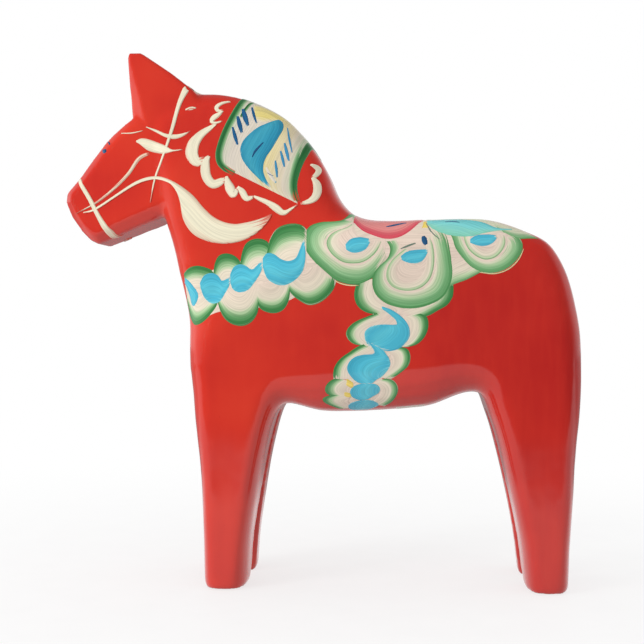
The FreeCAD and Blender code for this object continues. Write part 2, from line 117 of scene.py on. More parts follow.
# Strokes, by piece. A fan is a paint's name, an outer edge and an inner edge, as (x, z)
# points in the side view. A line is a paint's name and points with widths, as (x, z, width)
FANS = {
    "breast_garland": [
        ("ground",
         [(14.1, 135.2), (16.6, 135.9), (22.5, 138.2), (31.2, 138.9), (42.2, 138.8),
          (56.7, 138.7), (67.5, 137.1), (74.6, 134.8)],
         [(5.8, 116.8), (13.1, 118.3), (21.1, 124.1), (26.2, 120.4), (35.6, 112.4),
          (45.7, 116.7), (51.5, 120.3), (67.3, 122.5)]),
        ("ground",
         [(-49.2, 114.4), (-42.1, 116.2), (-36.2, 118.8), (-27.4, 121.4), (-19.3, 125.4),
          (-10.9, 130.1), (-3.1, 130.1)],
         [(-47.6, 103.7), (-40.9, 100.4), (-33.8, 102.3), (-23.5, 100.1), (-19.1, 104.4),
          (-10.7, 105.5), (-5.2, 108.1), (5.1, 111.7)]),
        ("green_white",
         [(-49.6, 116.6), (-47.4, 118.9), (-44.4, 119.8), (-41.1, 119.2), (-37.7, 117.5),
          (-36.9, 115.5)],
         [(-48.7, 108.2), (-42.8, 108.1), (-36.8, 109.6)]),
        ("green_white",
         [(-37.7, 116.2), (-37.2, 120.7), (-35.8, 123.5), (-33.4, 124.3), (-30.6, 123.7),
          (-28.2, 121.9), (-27, 119.9)],
         [(-36.8, 108.9), (-31.7, 108.9), (-26.1, 111.1)]),
        ("green_white",
         [(-27.7, 119.2), (-27.3, 123.6), (-25.4, 128.3), (-22.2, 129.7), (-19, 129.3),
          (-17, 127.9), (-16.3, 125)],
         [(-26.1, 110.3), (-21.4, 111), (-15.5, 114)]),
        ("green_white",
         [(-17.8, 123.5), (-16.6, 129.8), (-14.2, 133.5), (-10.7, 135), (-7.1, 135.2),
          (-4.3, 134.2), (-2.8, 132.3)],
         [(-16.2, 112.5), (-9.6, 113.2), (-2.3, 118.3)]),
        ("green_white",
         [(-48.3, 106.7), (-47.6, 103.4), (-46.4, 99.3), (-44.4, 97), (-41.6, 98),
          (-38.4, 100.8), (-35.7, 104.5), (-35, 107.4)],
         [(-48.4, 111.1), (-42.1, 110.7), (-35.8, 111.1)]),
        ("green_white",
         [(-35.7, 106.7), (-34.4, 102.4), (-32.4, 99.2), (-28.8, 97.2), (-25.6, 97),
          (-22.8, 98.4), (-20.8, 101.2), (-20, 106.6)],
         [(-36.1, 111.1), (-28, 111.8), (-20.3, 113.2)]),
        ("green_white",
         [(-20.9, 105.2), (-19.1, 102.8), (-17.2, 102), (-14, 101.6), (-11.2, 102.8),
          (-9.4, 105.5), (-8.5, 111)],
         [(-21, 112.5), (-14.8, 114), (-8.9, 116.2)]),
        ("green_white",
         [(-9.2, 110.3), (-8.1, 108.5), (-5.3, 106.3), (-1.7, 104.5), (1.9, 105.3), (5.4, 107.9),
          (7.8, 111.4), (8.3, 113.9)],
         [(-9.3, 116.2), (-3.4, 117.6), (1.3, 119.8)]),
    ],
    "breast_wave": [
        ("blue",
         [(-49.2, 115.5), (-46.9, 114), (-44.7, 111.6), (-42.8, 109.2), (-43.1, 106.7),
          (-45, 104.1)],
         [(-49.2, 113.3), (-48, 110.7), (-47.2, 108.2), (-46.5, 105.9), (-45.7, 104.3)]),
        ("blue",
         [(-42.8, 112.9), (-40.9, 116.3), (-38.1, 117.1), (-35.7, 115.9), (-34.5, 113.9),
          (-32.8, 114.4), (-31.3, 115.8)],
         [(-42.6, 111.8), (-40.4, 106.7), (-37.6, 104.9), (-35.2, 105.2), (-32.8, 108.7),
          (-31.3, 111.9), (-31, 114.4)]),
        ("blue",
         [(-31.4, 115.8), (-29.7, 119.5), (-27.7, 120.3), (-25.3, 119.5), (-23.1, 117.9),
          (-21.1, 119.5), (-19.3, 121.7)],
         [(-31.2, 113.3), (-29.6, 109.9), (-26.8, 108.9), (-24, 109.9), (-21.6, 113.1),
          (-19.9, 115.8), (-18.5, 119.1)]),
        ("blue",
         [(-19.3, 121.7), (-17.4, 124.3), (-15, 123.9), (-12.1, 121.8), (-9.3, 121), (-7, 121.8),
          (-5.4, 125), (-4, 129.2)],
         [(-19, 119.1), (-16.9, 113.9), (-14, 111.9), (-10.9, 111.5), (-7.3, 113.1),
          (-4.1, 116.6), (-3, 121), (-3.7, 129)]),
    ],
    "front_petal": [
        ("ground",
         [(7.9, 134.5), (1.3, 132.3), (-2, 127.9), (1.3, 120.5), (7.2, 115.4), (15.3, 113.5),
          (22.5, 116.8), (26.1, 124.1)],
         [(13.7, 138.2), (14.4, 135.2), (15.6, 131.5), (17.4, 128.5), (20.3, 127), (23.2, 127.4),
          (25.4, 128.5), (26.5, 129.2)]),
        ("ring",
         [(13.6, 142), (11.8, 138.6), (10, 136.4), (6.8, 135.8), (2.2, 135.6), (-2.4, 133.9),
          (-4.3, 130.3), (-3.6, 125.1), (-0.4, 120.7), (3.3, 117.1), (6.9, 114.1), (11.8, 112.2),
          (16, 111.9), (19.6, 113.2), (23.3, 116.4), (26.9, 121.5)],
         [(17.3, 139), (15.2, 136.3), (13.4, 134.8), (11.2, 133.5), (7.9, 132.1), (5.1, 130.1),
          (4, 127.5), (5, 124.5), (7.2, 122), (10.5, 119.9), (14.1, 119.4), (17.8, 119.9),
          (21.1, 121.9), (23.6, 124.8), (24.9, 127.4)]),
        ("petal",
         [(13.7, 135.2), (11.9, 133.5), (7.9, 132.1), (5.1, 130.1), (4, 127.5), (5, 124.5),
          (7.2, 122), (10.5, 119.9), (14.1, 119.4), (17.8, 119.9), (21.1, 121.9), (23.6, 124.8),
          (25, 128.1)],
         [(15.2, 133.7), (13, 132.2), (10.8, 130.8), (9.7, 128.9), (9.7, 127.1), (11.2, 125.3),
          (13.4, 124.1), (15.9, 124), (18.9, 124.9), (20.7, 126.3), (22.1, 128.5)]),
    ],
    "front_petal_spot": [
        ("blue",
         [(11.3, 126.5), (12.9, 128.9), (15.9, 129.7), (20.2, 128.9)],
         [(11.5, 124.9), (13.9, 123.4), (16.8, 123.5), (19.3, 124.9), (20.6, 127.9)]),
    ],
    "saddle_rose": [
        ("rose",
         [(13.7, 135.8), (14.8, 134.3), (17.2, 131.8), (21.4, 129.7), (26.2, 128.3), (31.1, 129),
          (35.3, 131.6), (38.3, 134.6), (40, 136.5)],
         [(16.1, 157.5), (17.2, 159), (19, 159.7), (22, 160), (26.1, 160.4), (30.1, 160),
          (33.8, 159.5), (36.7, 158.8), (39.3, 157.2)]),
    ],
    "middle_petal": [
        ("ground",
         [(27.2, 126.6), (28, 124.8), (27.2, 122.3), (23.6, 118.2), (22.2, 113.9), (24, 109.1),
          (29.8, 105.9), (35.9, 105.1), (42.8, 106.6), (47.8, 110.9), (48.9, 118.2),
          (47.9, 126.2), (46.8, 131.3)],
         [(30.5, 127.4), (32, 126.3), (33.8, 124.8), (35.2, 122.6), (36.3, 120.4), (37.8, 118.9),
          (39.2, 120.4), (40.7, 123.3), (42.1, 126.9), (43.2, 130.6), (44.3, 133.5)]),
        ("ring",
         [(26, 128.1), (27.5, 125.5), (26.8, 121.9), (23.8, 118.9), (21.4, 115.8), (20.9, 112.2),
          (22, 108.6), (25, 105.6), (29.9, 103.7), (35.9, 103.1), (41.9, 104.4), (47.2, 107.4),
          (49.6, 111.6), (50.5, 115.8), (50.1, 120), (49.4, 124.8), (48.3, 129.8), (46.1, 133.5)],
         [(29.8, 128.5), (31.2, 125.9), (30.1, 123), (27.6, 120.4), (26, 117.5), (26, 113.9),
          (28, 111.1), (31.2, 109.8), (34.5, 109.5), (38.5, 110.4), (41.5, 112.7), (43.4, 116.7),
          (43.9, 121.1), (43.6, 125.5), (42.5, 129.1), (41.8, 132.1)]),
        ("petal",
         [(33.4, 125.5), (30.9, 123.7), (28, 121), (26.1, 117.5), (26, 113.9), (28, 111.1),
          (31.2, 109.8), (34.5, 109.5), (38.5, 110.4), (41.5, 112.7), (43.4, 116.7),
          (43.9, 121.1), (43.4, 126.2), (42.1, 129.9)],
         [(35.2, 124.1), (33.4, 122.2), (31.6, 120.4), (30.5, 118.2), (30.5, 116), (31.6, 114.2),
          (33.4, 113.3), (35.6, 113.5), (37.7, 114.6), (39.4, 116.7), (40.3, 119.7),
          (40.7, 122.9), (40.3, 126.2), (39.9, 128.4)]),
        ("yellow",
         [(39.8, 136.1), (39.4, 133.9), (38.7, 132.5)],
         [(40.9, 136.1), (41.3, 133.9), (42.3, 132.6)]),
    ],
    "middle_petal_spot": [
        ("blue",
         [(31.2, 122.2), (33.4, 124.3), (36.5, 124.9), (41.4, 124.9)],
         [(31.5, 121.1), (34.1, 119.7), (36.8, 119.4), (39, 120), (40.6, 122), (41.5, 124.5)]),
    ],
    "rear_petal": [
        ("petal",
         [(48.2, 107.6), (49.3, 111.3), (51.4, 112.3), (55, 113.6), (57.9, 115.1), (61.5, 117)],
         [(48.6, 120.4), (50, 121.8), (51.8, 122.2), (54, 121.8), (56.5, 121.4), (59.4, 121.8)]),
        ("ground",
         [(48.3, 132), (50.1, 127.3), (53.3, 122.5), (58.7, 118.5), (65.7, 117.4), (71.6, 120.3),
          (74.5, 125.3), (74.2, 129.7)],
         [(51.5, 134.2), (55.1, 131.3), (58, 128.7), (61.6, 127.2), (65.2, 128.3), (68.1, 130.5),
          (70.2, 131.9)]),
        ("ring",
         [(48.3, 132), (49.9, 128.4), (50.8, 125.4), (53.3, 121.8), (56.8, 118.1), (61, 116.2),
          (65.7, 116.2), (69.9, 117.8), (73.5, 121.1), (75.6, 125.1), (74.9, 128.6), (72.4, 130.4)],
         [(53, 132), (54, 128), (55.3, 124.7), (58, 122.1), (61.9, 120.5), (65.9, 121.6),
          (68.4, 124.3), (69.5, 127.2), (69.2, 129.7)]),
        ("petal",
         [(53.3, 131.3), (54, 128), (55.3, 124.7), (58, 122.1), (61.9, 120.5), (65.9, 121.6),
          (68.4, 124.3), (69.5, 127.2), (68.8, 130.5)],
         [(56.6, 130.9), (57.3, 128.7), (58.4, 126.9), (60.1, 125.4), (61.9, 124.7),
          (63.7, 125.2), (65.2, 126.8), (65.9, 128.7), (65.9, 130.5)]),
    ],
    "rear_petal_spot": [
        ("blue",
         [(56.1, 128.3), (58.7, 130.2), (62.2, 130.5), (65.9, 129.9)],
         [(56, 127.2), (58.1, 126.1), (61.7, 125.5), (64.8, 126.8), (66.3, 129.2)]),
    ],
    "turquoise_leaf": [
        ("pale_green",
         [(40.7, 140.3), (43.6, 138.8), (48, 140.2), (53.1, 141.7), (58.9, 141.7), (64.7, 140.1)],
         [(41, 134.3), (44.3, 131.7), (48.6, 129.8), (53.7, 129.1), (60.2, 129.4), (70.2, 131.2)]),
        ("leaf",
         [(81.7, 128.8), (77.7, 128.7), (74.7, 128.4), (71.7, 129.2), (69.2, 130.5), (66.7, 131.9)],
         [(76, 133.3), (72.4, 134.8), (68.8, 136.3), (66.1, 137.9), (62.5, 139.4), (58.9, 140.9)]),
        ("turquoise",
         [(40.7, 136.8), (43.2, 137.7), (47.3, 138.8), (52.3, 138.7), (58.1, 136.5),
          (62.2, 134.7), (65.8, 132.8), (72.2, 132.3)],
         [(41, 134.3), (43.9, 131.5), (47.9, 129.9), (52.7, 129), (57.3, 129.2), (61.6, 130.4),
          (65.9, 131.4), (72.3, 131.9)]),
    ],
    "girth_scallops": [
        ("ground",
         [(17.4, 110.2), (16.7, 106.2), (21.8, 102.2), (17.5, 98.6), (14.2, 95.7), (15.3, 92.4),
          (20, 89.9), (13.8, 85.5), (12, 81.2), (12.7, 77.9), (9.1, 74.6), (10.2, 72.1),
          (8.7, 69.9), (12, 67.3), (13.8, 66.2)],
         [(47.8, 110.2), (45.7, 106.2), (39.9, 102.6), (37.7, 100), (38.5, 96.4), (36.3, 92.4),
          (30.5, 89.5), (32, 85.6), (29.1, 81.9), (24.7, 78.3), (26.5, 75.4), (25.4, 72.1),
          (21.5, 69.6), (20.4, 67.7), (19.6, 66.6)]),
        ("green_white",
         [(15.6, 113.5), (14.4, 107.7), (15.2, 105), (16.8, 103.1), (19.7, 101.7), (22.9, 101.3)],
         [(22.5, 114.6), (23.6, 110.6), (25.4, 107.7), (26.9, 105.5), (27.6, 103.3), (27.6, 101.9)]),
        ("green_white",
         [(50.7, 112.3), (50.4, 107.6), (48.8, 105), (45.2, 102.8), (41.7, 100.8), (38.5, 100)],
         [(41.4, 110.2), (39.9, 108.4), (37.7, 106.6), (34.9, 104.8), (32, 103.3), (30.5, 101.5)]),
        ("green_white",
         [(23.3, 102.2), (19.7, 100.8), (15.2, 98.9), (12.3, 96.6), (11.3, 94.3), (12.3, 92.1),
          (15.2, 90.3), (18.2, 90.3)],
         [(25.4, 100.1), (22.9, 98.6), (21.1, 97.1), (20, 95.7), (20, 93.9), (20.7, 92.1),
          (21.8, 90.3), (23.3, 88.8)]),
        ("green_white",
         [(38.5, 101.9), (41, 100.8), (41.7, 97.3), (40.4, 93.4), (37.5, 90.5), (33.9, 89.5)],
         [(29.8, 100.1), (32, 98.6), (33, 96.1), (32.7, 93.2), (30.9, 90.6), (28.3, 89.5)]),
        ("green_white",
         [(18.2, 91), (15.3, 89.5), (12.9, 87.8), (9.3, 85.2), (7.4, 82.6), (6.7, 80.1),
          (6.9, 77.5)],
         [(22.6, 87.7), (20.4, 86.6), (17.8, 85.5), (16, 84.1), (14.6, 81.9), (14.2, 79.7),
          (14.6, 77.5)]),
        ("green_white",
         [(31.2, 89.5), (33.9, 89.2), (35.2, 86.3), (34.6, 83), (32, 80.5), (28.1, 77.8)],
         [(26.2, 87.7), (27.6, 86.6), (28, 84.5), (26.9, 82.3), (24.7, 80.5), (21.8, 78.3)]),
        ("green_white",
         [(8, 78.2), (6.7, 77.8), (4.5, 76.1), (3.5, 74.2), (4.1, 72.5), (6.4, 71.4)],
         [(16, 76.8), (14.9, 76.1), (13.5, 75), (13.1, 73.9), (13.1, 72.8), (13.8, 71.3)]),
        ("green_white",
         [(25.8, 78.3), (29.1, 77.5), (30.7, 75.3), (30.4, 72.3), (28.8, 69.7), (25.4, 67.4)],
         [(21.1, 76.1), (23.3, 75.4), (24, 73.9), (23.6, 72.1), (21.8, 70.3), (19.6, 68.8)]),
        ("green_white",
         [(7.3, 72.2), (3.8, 71.3), (2.2, 70.3), (3.6, 68.7), (5.8, 67.7), (9.5, 66.2)],
         [(13.8, 71.7), (13.1, 70.6), (12.7, 69.5), (13.1, 68.8), (13.8, 68.1), (15.3, 67)]),
        ("yellow",
         [(11.7, 78.1), (13.1, 77.7), (14.6, 76.6)],
         [(11.3, 75.7), (12.7, 74.4), (14.6, 74.6)]),
        ("yellow",
         [(10.6, 73.1), (12, 73.5), (13.5, 72.4)],
         [(10.6, 71.7), (12, 70.6), (13.8, 71)]),
    ],
    "girth_wave": [
        ("blue",
         [(24.4, 104.4), (27.5, 103.4), (30.7, 101.5), (33.3, 99.2), (34.9, 96.3), (34.9, 92.7),
          (33.3, 90.5), (30.7, 88.5), (28.1, 88), (25.2, 88.1)],
         [(24.4, 103.5), (26.1, 102.4), (28, 100.8), (29.8, 99.1), (30.2, 97.3), (26.9, 97.7),
          (23.3, 97.7), (20, 96.9), (18.2, 95.3), (18.2, 92.8), (19.7, 89.5)]),
        ("blue",
         [(18.9, 92.1), (22, 87.2), (17.8, 86.9), (14.2, 85.9), (12, 83.6), (11.6, 81.3),
          (12.9, 79.1), (16.2, 76.4), (18.9, 76)],
         [(25.4, 88.6), (26.2, 87.2), (27.5, 85.3), (28, 82.7), (26.5, 80.1), (25.1, 78.7),
          (22.9, 77.6), (21.1, 76.2), (19.6, 75.9)]),
        ("blue",
         [(17.1, 76.2), (14.2, 75.2), (12.7, 73.4), (13, 71.7), (14.8, 70.4), (17.8, 70)],
         [(20, 76.2), (22.9, 76), (24.4, 74.5), (24.2, 73.2), (21.7, 71.6), (18.9, 70.1)]),
        ("blue",
         [(17.5, 70.1), (13.2, 69), (11.5, 67.9), (12.7, 65.9), (15.3, 65)],
         [(19.3, 70.1), (21.1, 70), (24.1, 68.3), (21.7, 67), (18.9, 65.2)]),
    ],
    "rein": [
        ("cream",
         [(-90, 140.7), (-87, 141.3), (-83.9, 142.8), (-78.8, 145.9), (-73.7, 149.1),
          (-68.7, 152), (-63.6, 153.6), (-60.1, 153.7), (-55.1, 152.1), (-50.6, 149.6),
          (-46.2, 146.2), (-41.2, 140.6), (-37.8, 137.7), (-33.6, 135.8), (-29.9, 135.1),
          (-25.9, 135.6), (-21.1, 136.9), (-16.2, 138.8)],
         [(-90, 140.2), (-87, 140.6), (-83.9, 141.9), (-78.8, 144.9), (-73.7, 148),
          (-68.7, 150.7), (-63.6, 152.3), (-60.2, 152.5), (-56, 151.2), (-53.8, 149.9),
          (-52.3, 147.8), (-50.9, 143.8), (-49.4, 136.4), (-45.6, 131.2), (-40.3, 128.6),
          (-34.7, 127.6), (-29.1, 128.1), (-24.2, 129.9), (-20.3, 132.7), (-17.5, 135.9),
          (-16.2, 138.4)]),
    ],
    "brow_stroke": [
        ("cream",
         [(-64.9, 172.7), (-60.7, 171.4), (-56.7, 169.7), (-53.3, 169.4), (-50.4, 169.8),
          (-47.6, 170.8)],
         [(-65.1, 172.5), (-60.7, 170.2), (-56.6, 168), (-53.7, 167.4), (-50.8, 168.2),
          (-47.5, 170.4)]),
    ],
    "eye_stroke": [
        ("cream",
         [(-68.8, 167.3), (-66.7, 168.3), (-64.7, 168.1), (-60.7, 166.7), (-56.5, 164.9),
          (-54.5, 163.5), (-50.4, 163.6)],
         [(-68.6, 166.8), (-66.7, 165.5), (-64.2, 163.5), (-61.1, 162.5), (-56.9, 161.9),
          (-54, 162.7), (-50.3, 163.2)]),
    ],
    "mane_drop": [
        ("mane_blue",
         [(-14.9, 175.2), (-12.7, 173.6), (-12.3, 171.4), (-13.7, 167.7), (-16.1, 163.3),
          (-18.6, 159.7), (-19.5, 156.8), (-19.5, 154.6), (-18.5, 151.7), (-16.4, 148.6)],
         [(-15, 174.8), (-18.8, 173.3), (-22.7, 171.5), (-25.9, 168.9), (-28.1, 166.4),
          (-29, 163.1), (-28.2, 159.8), (-25.6, 156.1), (-22.3, 152.8), (-19, 149.8),
          (-16.7, 148.4)]),
    ],
    "mane_front_border": [
        ("border",
         [(-29, 201.2), (-28.6, 194.4), (-28.7, 188.2), (-29.9, 182.9), (-32, 178.1),
          (-34.9, 172.2), (-37, 166.4), (-38, 161.4), (-37.3, 157.8), (-34.8, 155.1),
          (-31.2, 153.1)],
         [(-26, 201.1), (-25.6, 194.3), (-25.6, 188.2), (-26.6, 182.1), (-28.6, 177.1),
          (-31.7, 171), (-33.7, 165.6), (-34.6, 161.2), (-34.3, 158.9), (-32.4, 156.8),
          (-29.4, 154.9)]),
        ("border",
         [(-24.7, 184.3), (-26.6, 181.7), (-28.2, 178.7), (-29.3, 175.8)],
         [(-23.8, 182.8), (-25, 180.1), (-26.5, 177.3), (-28.2, 174.8)]),
    ],
    "mane_rear_border": [
        ("border",
         [(0.9, 187), (1, 179.4), (0.5, 171.7), (-1.1, 165.6), (-2.8, 161.4), (-4.5, 157.8),
          (-6, 153.6), (-6.8, 149.8), (-6.6, 146.7), (-5.4, 143.3)],
         [(-4, 187.1), (-3.9, 179.5), (-4.3, 172.6), (-5.8, 167.2), (-7.6, 163), (-9, 159.2),
          (-10.1, 154.7), (-10.6, 150.5), (-10.2, 146.7), (-8.2, 143.1)]),
    ],
    "mane_panel": [
        ("panel",
         [(-27.5, 201.2), (-27.1, 194.3), (-27.1, 188.2), (-28.4, 181.7), (-30.1, 177.5),
          (-33.2, 171.6), (-35.6, 165.7), (-36.7, 161.3), (-36.5, 158.7), (-34.6, 156.4)],
         [(-1.7, 187.1), (-1.6, 179.4), (-2.1, 171.8), (-3.7, 166.1), (-5.2, 162.1),
          (-6.2, 158.5), (-7.7, 154.1), (-8.3, 150.1), (-7.9, 146.5), (-6.5, 142.3)]),
        ("yellow_soft",
         [(-25, 181.7), (-20.5, 181.6), (-15.2, 179.6), (-9.9, 176.5)],
         [(-23, 174.3), (-20.4, 173.1), (-17.4, 173.9), (-14, 173.5)]),
    ],
}
LINES = {
    "saddle_rose": [
        ("dark_blue",
         [(25.8, 133.3, 0.4), (28.3, 133.8, 1.2), (31.2, 134.5, 1.1), (34.1, 135, 0.4)]),
    ],
    "middle_petal": [
        ("dark_blue",
         [(39.5, 129.9, 0.8), (39.7, 129.2, 2.1), (40.1, 128.1, 2.9), (40.5, 126.9, 2.3),
          (40.7, 126.2, 0.9)]),
        ("grey_green",
         [(31.1, 124.9, 0.5), (34.1, 126.1, 1.1), (37.1, 127.2, 0.6)]),
        ("grey_green",
         [(40.5, 135, 0.5), (42.5, 131.3, 0.8), (45.7, 128.2, 0.5)]),
    ],
    "turquoise_leaf": [
        ("dark_blue",
         [(47.2, 135.1, 0.4), (50.1, 135.4, 1), (53.3, 134.7, 0.4)]),
    ],
    "mane_front_dashes": [
        ("dash",
         [(-31.7, 172.3, 0.9), (-30.6, 168.4, 2.3), (-29.4, 164.6, 1.1)]),
        ("dash",
         [(-29.9, 176.4, 1.1), (-28.9, 172.7, 2.6), (-27.9, 169.2, 1.1)]),
        ("dash",
         [(-28.1, 179.3, 1.1), (-26.9, 175.5, 2.8), (-25.6, 171.9, 1.1)]),
        ("dash",
         [(-24.9, 180.1, 0.8), (-23.7, 176.4, 1.7), (-22.4, 172.8, 0.6)]),
    ],
    "mane_rear_dashes": [
        ("dash_light",
         [(-15.3, 159.3, 0.8), (-14.8, 155.7, 1.8), (-14.4, 152, 0.8)]),
        ("dash_light",
         [(-13.4, 162.9, 0.8), (-12.5, 159.5, 1.9), (-11.7, 156, 0.8)]),
        ("dash_light",
         [(-12, 165.9, 0.8), (-11, 162, 2), (-10, 158.2, 0.8)]),
        ("dash_light",
         [(-11.3, 172.1, 0.5), (-10.1, 166.4, 1.3), (-8.9, 161.4, 0.5)]),
    ],
    "mane_drop": [
        ("dark_blue",
         [(-19.5, 166.2, 0.5), (-21.3, 164.3, 1.5), (-23, 162.3, 1.7), (-24.1, 159.8, 0.5)]),
        ("white_dab",
         [(-18.8, 156.7, 0.9), (-17.7, 154.4, 1.9), (-16.2, 152.1, 2.3), (-14.6, 150.1, 1.1)]),
        ("dark_blue",
         [(-18.5, 154.5, 0.3), (-17, 153.4, 0.5), (-15.5, 153, 0.3)]),
    ],
    "mane_wave": [
        ("cream",
         [(-32.8, 182.1, 0.5), (-36.3, 181.2, 1.5), (-38.1, 179.6, 1.9), (-37.5, 178.3, 1.5),
          (-35.4, 178.4, 0.8)]),
        ("cream",
         [(-35.4, 178.4, 0.8), (-37, 176.8, 1.9), (-39.1, 175.4, 2.3), (-39.8, 174, 1.5),
          (-38.5, 173.6, 1.1), (-35.4, 174.3, 0.6)]),
        ("cream",
         [(-37.7, 173.2, 0.8), (-40, 171.7, 1.9), (-44.1, 168.6, 3.4), (-46.6, 164.6, 4.9),
          (-46.7, 161.1, 4.9), (-44.5, 158.6, 3.8), (-41.4, 159.9, 2.3)]),
        ("cream",
         [(-40.1, 160.9, 1.1), (-41.3, 159.2, 3), (-41.6, 156.5, 3.8), (-40.9, 152.7, 3.8),
          (-38.2, 150, 3.4), (-35.6, 151.1, 3), (-33.3, 152.4, 1.1)]),
        ("cream",
         [(-33.6, 153.2, 1.1), (-33.1, 151.1, 2.6), (-32.2, 148.8, 3.8), (-30.8, 146.3, 3.4),
          (-29.2, 148.6, 1.5)]),
        ("cream",
         [(-29.4, 149.1, 1.1), (-27.6, 147.4, 2.5), (-25.7, 144.5, 2.3), (-23, 145.3, 1)]),
        ("cream",
         [(-23.3, 145.5, 0.9), (-20.5, 144.2, 1.7), (-17.8, 143, 2.1), (-14.4, 140.7, 3),
          (-12, 139, 2.1), (-9.2, 140.5, 1.1), (-6.5, 142.2, 0.4)]),
    ],
    "mane_hook": [
        ("cream",
         [(-2.3, 157.4, 0.5), (-0.6, 156.9, 2), (1, 155.6, 2.4), (-0, 153.4, 2.1),
          (-1.4, 152.2, 1.4)]),
        ("cream",
         [(-1.5, 152.5, 1), (0.2, 150.3, 3), (0.6, 147.1, 3.4), (-0.5, 144.6, 3),
          (-2.9, 143.2, 2), (-5.7, 142.5, 0.9)]),
    ],
    "headstall": [
        ("cream_dry",
         [(-49.9, 178.9, 0.4), (-47.8, 179.4, 1.7), (-45.5, 179.6, 0.4)]),
        ("cream",
         [(-45.7, 194.6, 3.4), (-47.4, 191.4, 3.4), (-48.8, 188.5, 3.2), (-50.3, 185.7, 2.6),
          (-51.8, 182.5, 2), (-54.4, 172.2, 1.5), (-56.1, 166.3, 1.2), (-58.3, 160, 0.9),
          (-61.1, 153.3, 0.8), (-63.1, 143.7, 0.3)]),
    ],
    "cheek_line": [
        ("cream_dry",
         [(-63.4, 162.5, 1.3), (-66.7, 161.2, 1.5), (-71.7, 155, 1.4), (-78.8, 148.4, 1.1),
          (-84.9, 144.1, 0.8), (-93.1, 140.1, 0.3)]),
    ],
    "noseband": [
        ("cream",
         [(-94.7, 164.7, 1.7), (-94.3, 160.4, 1.7), (-93.7, 156.6, 1.7), (-92.1, 153.5, 1.7),
          (-87, 145.1, 1.9), (-83.9, 139.2, 1.9), (-80.8, 134.3, 2.6), (-77.5, 130.5, 3.3),
          (-76.3, 129, 3.6)]),
    ],
    "forelock_line": [
        ("cream",
         [(-74.9, 170.4, 0.3), (-70.7, 170.3, 0.6), (-65.8, 171.1, 0.3)]),
    ],
    "forehead_marks": [
        ("dark_blue",
         [(-82.5, 164.2, 0.6), (-81.5, 163.9, 2.3), (-80.6, 163.5, 0.6)]),
        ("dark_blue",
         [(-80.4, 167.7, 0.4), (-79.8, 166.9, 0.8), (-79.4, 166.2, 0.3)]),
    ],
    "rear_petal": [
        ("rim",
         [(59.4, 116.5, 0.3), (65.6, 116, 0.5), (70.1, 117.6, 0.5), (73.6, 120.9, 0.5),
          (75.7, 125.1, 0.3)]),
    ],
    "front_petal": [
        ("rim",
         [(6.1, 114.4, 0.3), (10.2, 112.4, 0.5), (13.8, 111.8, 0.5), (16.7, 111.9, 0.3)]),
    ],
}


# ---- the carved block ----

def remeshed(node, voxel):
    """An even quad mesh of a CAD node: its points in millimetres, its edges and its faces."""
    scratch = bpy.data.objects.new("scratch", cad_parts[node].data.copy())
    bpy.context.scene.collection.objects.link(scratch)
    remesh = scratch.modifiers.new("remesh", "REMESH")
    remesh.mode = "VOXEL"
    remesh.voxel_size = voxel * MM
    remesh.adaptivity = 0.0
    seen = scratch.evaluated_get(bpy.context.evaluated_depsgraph_get())
    mesh = bpy.data.meshes.new_from_object(seen)
    points = np.zeros(len(mesh.vertices) * 3)
    mesh.vertices.foreach_get("co", points)
    edges = np.zeros(len(mesh.edges) * 2, np.int32)
    mesh.edges.foreach_get("vertices", edges)
    faces = [tuple(face.vertices) for face in mesh.polygons]
    bpy.data.objects.remove(scratch)
    return points.reshape(-1, 3) / MM, edges.reshape(-1, 2), faces


def relax(points, edges, weights, factor):
    """One step of each point towards the mean of its neighbours, or away from it."""
    count = len(points)
    degree = np.bincount(edges.ravel(), minlength=count)
    mean = np.empty_like(points)
    for axis in range(3):
        values = points[:, axis]
        total = np.bincount(edges[:, 0], values[edges[:, 1]], count)
        total += np.bincount(edges[:, 1], values[edges[:, 0]], count)
        mean[:, axis] = total / degree
    return points + factor * weights[:, None] * (mean - points)


def fade(values, start, end):
    """0 at start and before, 1 at end and after, and smooth in between."""
    share = np.clip((values - start) / (end - start), 0, 1)
    return share * share * (3 - 2 * share)


def near_line(points, first, last, reach):
    """1 on a line in the side view and 0 beyond a reach from it."""
    place = points[:, (0, 2)]
    first, last = np.array(first, float), np.array(last, float)
    run = last - first
    share = np.clip((place - first) @ run / (run @ run), 0, 1)
    gap = np.linalg.norm(place - first - share[:, None] * run, axis=1)
    return 1 - fade(gap, 0.4 * reach, reach)


def smoothed(points, edges, weights, passes):
    """Evens out bumps where the weights are, and keeps the volume."""
    for _ in range(passes):
        points = relax(points, edges, weights, 0.5)
        points = relax(points, edges, weights, -0.53)
    return points


def softened(points, edges, weights, passes):
    """Evens out bumps and corners where the weights are."""
    for _ in range(passes):
        points = relax(points, edges, weights, 0.5)
    return points


def carve(points, edges, voxel):
    """Smooths the sawn and rounded blank into one carved form. Head and ears keep edges."""
    scale = COAT_VOXEL / voxel
    x, z = points[:, 0], points[:, 2]
    head = np.maximum(fade(-x, 52, 62) * fade(z, 120, 126), fade(z, 178, 186))
    points = smoothed(points, edges, 1 - 0.97 * head, int(CARVING_PASSES * scale))
    points = smoothed(points, edges, np.ones(len(points)), 2)
    for first, last, reach, passes in SEAMS:
        weights = near_line(points, first, last, reach)
        points = softened(points, edges, weights, int(passes * scale))
    feet = 1 - fade(points[:, 2], 3, 8)
    return softened(points, edges, feet, int(FOOT_PASSES * scale))


